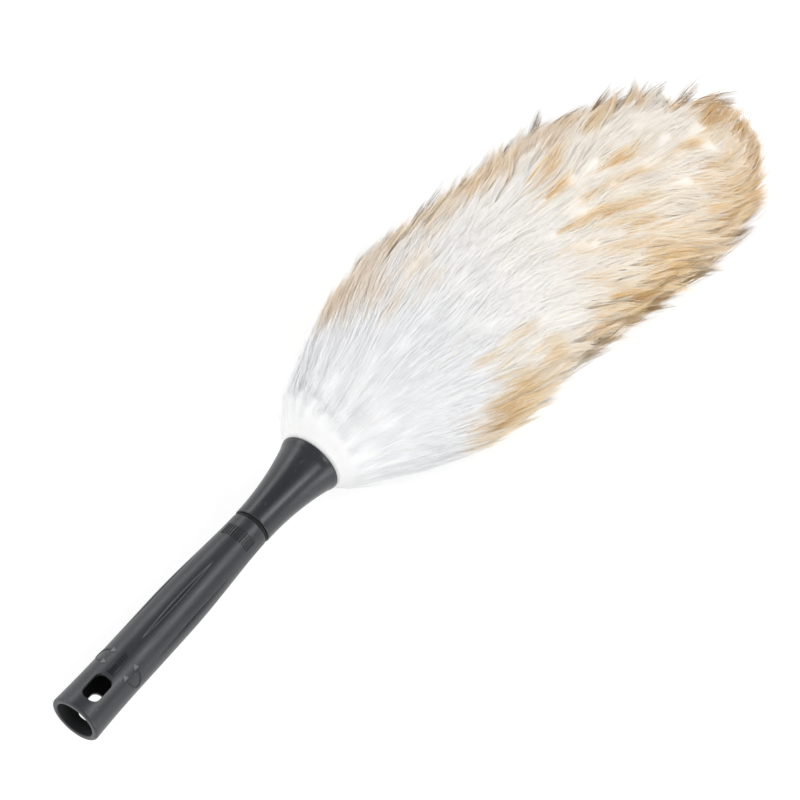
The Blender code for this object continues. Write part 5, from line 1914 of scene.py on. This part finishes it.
def colour_fibres(mesh, own, t, shown, draw):
    """Colours each fibre by the tan of the wool where it shows, and more towards its end."""
    count = len(shown)
    tan, gold = tan_at(shown, draw)
    tan = tan * draw.uniform(*FIBRE_TAN, count)
    tan = np.where(draw.uniform(0.0, 1.0, count) < WHITE_HAIRS, tan * WHITE_HAIRS_TAN, tan)
    brown = draw.uniform(0.0, 1.0, count) < BROWN_HAIRS * own["loose"]
    tan = np.where(brown, np.maximum(tan, BROWN_HAIRS_TAN), tan)
    tint = ease(*TAN_COMES, t) * (1.0 - TAN_PALES_BY * ease(*TAN_PALES, t))
    write_point_values(mesh, "tan", np.clip(tan[:, None] * tint, 0.0, 1.0))
    write_point_values(mesh, "gold", np.repeat(gold, len(t)))
    # The painted cool shade near the collar
    write_point_values(mesh, "cool", np.repeat(ease(*COOL_SHADE_ALONG, own["share"]), len(t)))


def soften(mesh, one, out_of_surface, out_of_fibre, loose):
    """Lights each fibre by the way its surface faces, as fine wool is, and its back the other way."""
    corners = np.array([corner.vertex_index for corner in one.loops])
    faces = [face for face in one.polygons for _ in face.vertices]
    facing = np.array([-1.0 if face.normal.y < -0.5 else 1.0 for face in faces])
    own = (OWN_SHADE_CLOSE + (OWN_SHADE_LOOSE - OWN_SHADE_CLOSE) * loose)[:, None, None]
    surface = out_of_surface[:, corners, :] * facing[None, :, None]
    soft = unit(surface * (1.0 - own) + out_of_fibre[:, corners, :] * own)
    mesh.normals_split_custom_set(soft.reshape(-1, 3).astype(np.float32))


def make_fibres(finish):
    draw = np.random.default_rng(SEED)
    tufts = guide_tufts(draw)
    per_tuft = FIBRES_IN_TUFT
    made = []
    order = np.argsort(tufts["share"], kind="stable")
    for number, chosen in enumerate(np.array_split(order, PIECES_OF_FIBRES)):
        name = f"wool_fibres_{number + 1}"
        made.append(shape_fibres(name, tufts, chosen, per_tuft, finish, draw))
    return made


def body_inset(share, angle):
    """How deep the close wool lies: just under the surface, and deeper behind the side fringes."""
    aside = (BODY_SIDE_INSET - BODY_INSET) * np.abs(np.cos(angle)) ** 4
    return (
        BODY_INSET * ease(*BODY_DEEPENS, share)
        + BODY_INSET_NECK
        + aside * ease(*BODY_SIDE_DEEPENS, share)
    )


def make_wool_body(finish):
    """The close wool under the fibres, from inside the collar to the tip, round the sleeve."""
    inside = COLLAR_END - WOOL_IN_COLLAR
    rows = [[middle_line(PELT_END + WOOL_BORE_EXTRA)[0]]]
    for distance in between(PELT_END - BORE_CLOSES, inside, 40):
        sleeve = pelt_bore(min(distance, CORE_END - CORE_END_ROUND)) + PELT_THICKNESS
        rows.append(wool_ring(distance, sleeve + WOOL_BORE_EXTRA))
    for distance in between(inside, COLLAR_END, 6):
        rows.append(wool_ring(distance, collar_radius(distance) - BELL_WALL - GAP))
    angles = np.arange(WOOL_SIDES) * math.tau / WOOL_SIDES
    crowded = np.linspace(0.0, 1.0, WOOL_ROWS) ** RINGS_CROWD
    for share in FIRST_RING + (LAST_RING - FIRST_RING) * crowded:
        shares = np.full(WOOL_SIDES, share)
        points = wool_surface(shares, angles, body_inset(shares, angles))
        points[:, 2] = np.maximum(points[:, 2], FLOOR_CLEARANCE - AXIS_HEIGHT)
        rows.append([Vector(point) for point in points])
    rows.append([sum(rows[-1], Vector()) / len(rows[-1]) + Vector(TIP_PAST_RINGS)])
    thing = new_object("wool_body", grid_skin(rows), finish, BODY_BEND_SHARP)
    paint_body(thing.data)
    light_body(thing.data)
    return thing


def wool_ring(distance, radius):
    return [off_middle(distance, radius, math.tau * step / WOOL_SIDES) for step in range(WOOL_SIDES)]


def light_body(mesh):
    """Lights the close wool's outside as the fibres over it are lit."""
    places = points_of(mesh)
    along, across = on_duster(places)
    past_lip = along > COLLAR_END + LIT_PAST_LIP
    outside = (np.hypot(across, places[:, 2]) > LIP_RADIUS * LIT_OUTSIDE) & past_lip
    lit = np.where(outside[:, None], out_of_wool(places), 0.0)
    mesh.normals_split_custom_set_from_vertices(lit.astype(np.float32))


def paint_body(mesh):
    """Gives the close wool its tones and a map that runs along and round it."""
    places = points_of(mesh)
    along, across = on_duster(places)
    share = (along - COLLAR_END) / WOOL_LENGTH
    tan, gold = tan_at(places, np.random.default_rng(SEED + 1))
    write_point_values(mesh, "tan", np.clip(tan * BODY_TAN, 0.0, 1.0))
    write_point_values(mesh, "gold", gold)
    # The painted cool shade near the collar
    write_point_values(mesh, "cool", ease(*COOL_SHADE_ALONG, share))
    corner = np.zeros(len(mesh.loops), np.int32)
    mesh.loops.foreach_get("vertex_index", corner)
    angle = np.arctan2(places[:, 2], across) / math.tau
    layer = mesh.uv_layers.new(name="comb")
    u, v = angle[corner], share[corner]
    starts = np.zeros(len(mesh.polygons), np.int32)
    totals = np.zeros(len(mesh.polygons), np.int32)
    mesh.polygons.foreach_get("loop_start", starts)
    mesh.polygons.foreach_get("loop_total", totals)
    face = np.repeat(np.arange(len(starts)), totals)
    highest = np.maximum.reduceat(u, starts)
    u = np.where(highest[face] - u > 0.5, u + 1.0, u)
    layer.uv.foreach_set("vector", np.stack([u, v], 1).astype(np.float32).ravel())


# Floor, lamps and camera

def make_floor():
    """A pale floor that looks white to the camera and keeps a soft shadow."""
    made, tree, shader = new_material("pale floor")
    tree.nodes.remove(shader)
    grey = (*FLOOR_SEEN, 1.0)
    pale = add_node(tree, "ShaderNodeBsdfDiffuse", {"Color": grey}).outputs["BSDF"]
    white = {"Color": (1.0, 1.0, 1.0, 1.0), "Strength": FLOOR_GLOW}
    glow = add_node(tree, "ShaderNodeEmission", white).outputs["Emission"]
    seen = add_node(tree, "ShaderNodeAddShader", {0: pale, 1: glow}).outputs["Shader"]
    lit = add_node(tree, "ShaderNodeBsdfDiffuse", {"Color": (*FLOOR_LIT, 1.0)}).outputs["BSDF"]
    fill(tree.nodes["Material Output"], {"Surface": seen_or_lit(tree, seen, lit)})
    bm = bmesh.new()
    bmesh.ops.create_grid(bm, x_segments=8, y_segments=8, size=FLOOR_HALF_WIDTH)
    floor = add_object("floor", mesh_from("floor", bm, made))


def seen_directly(tree):
    """1 where the camera sees the surface, also in a gloss or through glass, and 0 for its light."""
    path = add_node(tree, "ShaderNodeLightPath")
    seen = path.outputs["Is Camera Ray"]
    for kind in ("Is Glossy Ray", "Is Transmission Ray"):
        rays = {0: seen, 1: path.outputs[kind]}
        seen = add_node(tree, "ShaderNodeMath", rays, operation="MAXIMUM").outputs["Value"]
    return seen


def seen_or_lit(tree, seen, lit):
    """One shader where the camera sees a surface, and another for the light that it gives."""
    shaders = {"Fac": seen_directly(tree), 1: lit, 2: seen}
    return add_node(tree, "ShaderNodeMixShader", shaders).outputs["Shader"]


def make_world():
    """An even studio: white near the horizon, where it is seen, and dim overhead."""
    world = bpy.data.worlds.new("studio")
    bpy.context.scene.world = world
    world.use_nodes = True
    tree = world.node_tree
    light = tree.nodes["Background"]
    fill(light, {"Color": (1.0, 1.0, 1.0, 1.0), "Strength": WORLD_STRENGTH})
    place = add_node(tree, "ShaderNodeTexCoord").outputs["Generated"]
    height = add_node(tree, "ShaderNodeSeparateXYZ", {"Vector": place}).outputs["Z"]
    colour = ramp(tree, height, STUDIO_HEIGHTS)
    seen = add_node(tree, "ShaderNodeBackground", {"Color": colour}).outputs["Background"]
    shown = seen_or_lit(tree, seen, light.outputs["Background"])
    fill(tree.nodes["World Output"], {"Surface": shown})


def make_softbox(name, azimuth, elevation, width, height, power):
    """A soft lamp in this direction from the duster, azimuth from +X towards +Y, in degrees."""
    data = bpy.data.lights.new(name, "AREA")
    data.shape = "RECTANGLE"
    data.size = width
    data.size_y = height
    data.energy = power
    turn, rise = math.radians(azimuth), math.radians(elevation)
    level = math.cos(rise)
    away = Vector((math.cos(turn) * level, math.sin(turn) * level, math.sin(rise)))
    lamp = add_object(name, data)
    lamp.location = Vector(LAMPS_AIM) + away * LAMP_DISTANCE
    lamp.rotation_euler = away.to_track_quat("Z", "Y").to_euler()


def make_camera():
    """The photograph's view: from above and behind the butt, to its right."""
    data = bpy.data.cameras.new("camera")
    data.sensor_width = 36.0
    data.lens = CAMERA_LENS
    data.clip_start = 0.05
    data.clip_end = 50.0
    axes = [Vector(axis).normalized() for axis in (CAMERA_RIGHT, CAMERA_UP, CAMERA_BACK)]
    turn = Matrix(axes).transposed().to_4x4()
    camera = add_object("camera", data)
    camera.matrix_world = Matrix.Translation(BUTT + Vector(CAMERA_FROM_BUTT)) @ turn
    bpy.context.scene.camera = camera


def place_piece(piece, body, slot, *nodes):
    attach(piece, body)
    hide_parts(*nodes)


def dress_node(name, finish):
    """Gives a node that keeps its own shape a new finish."""
    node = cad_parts[name]
    node.data.materials.clear()
    node.data.materials.append(finish)


def build():
    make_camera()
    make_world()
    make_floor()
    for softbox in SOFTBOXES:
        make_softbox(*softbox)
    charcoal, collar_finish, marks_painted_shade, painted_highlight = [moulded_plastic(*looks) for looks in PLASTICS]
    place_piece(make_grip(charcoal), "grip", "handle_plastic", "grip")
    marks, heads = make_marks(marks_painted_shade, painted_highlight)
    place_piece(marks, "grip", "handle_plastic", "grip")
    place_piece(heads, "grip", "handle_plastic", "grip")
    place_piece(make_ring(black_rubber()), "ring", "ring_rubber", "joint_ring")
    place_piece(make_collar(collar_finish), "head", "collar_plastic", "bell_collar")
    dress_node("core_rod", natural_nylon())
    dress_node("core_screw", zinc_plate("zinc plated screw", 300.0))
    dress_node("core_washer", zinc_plate("zinc plated washer", 220.0))
    place_piece(make_pelt(sheepskin_leather()), "head", "pelt_leather", "pelt_sleeve")
    sewing_thread = twisted_yarn("sewing thread", *SEWING_THREAD_LOOKS)
    waxed_twine = twisted_yarn("waxed twine", *WAXED_TWINE_LOOKS)
    place_piece(make_seam(sewing_thread), "head", "sewing_thread", "seam_thread")
    place_piece(make_tie(waxed_twine), "head", "tie_twine", "neck_tie")
    place_piece(make_wool_body(combed_wool()), "head", "wool", "wool_pile")
    for piece in make_fibres(wool_strands()):
        place_piece(piece, "head", "wool", "wool_pile")
    bpy.context.scene.view_settings.view_transform = "Standard"


build()
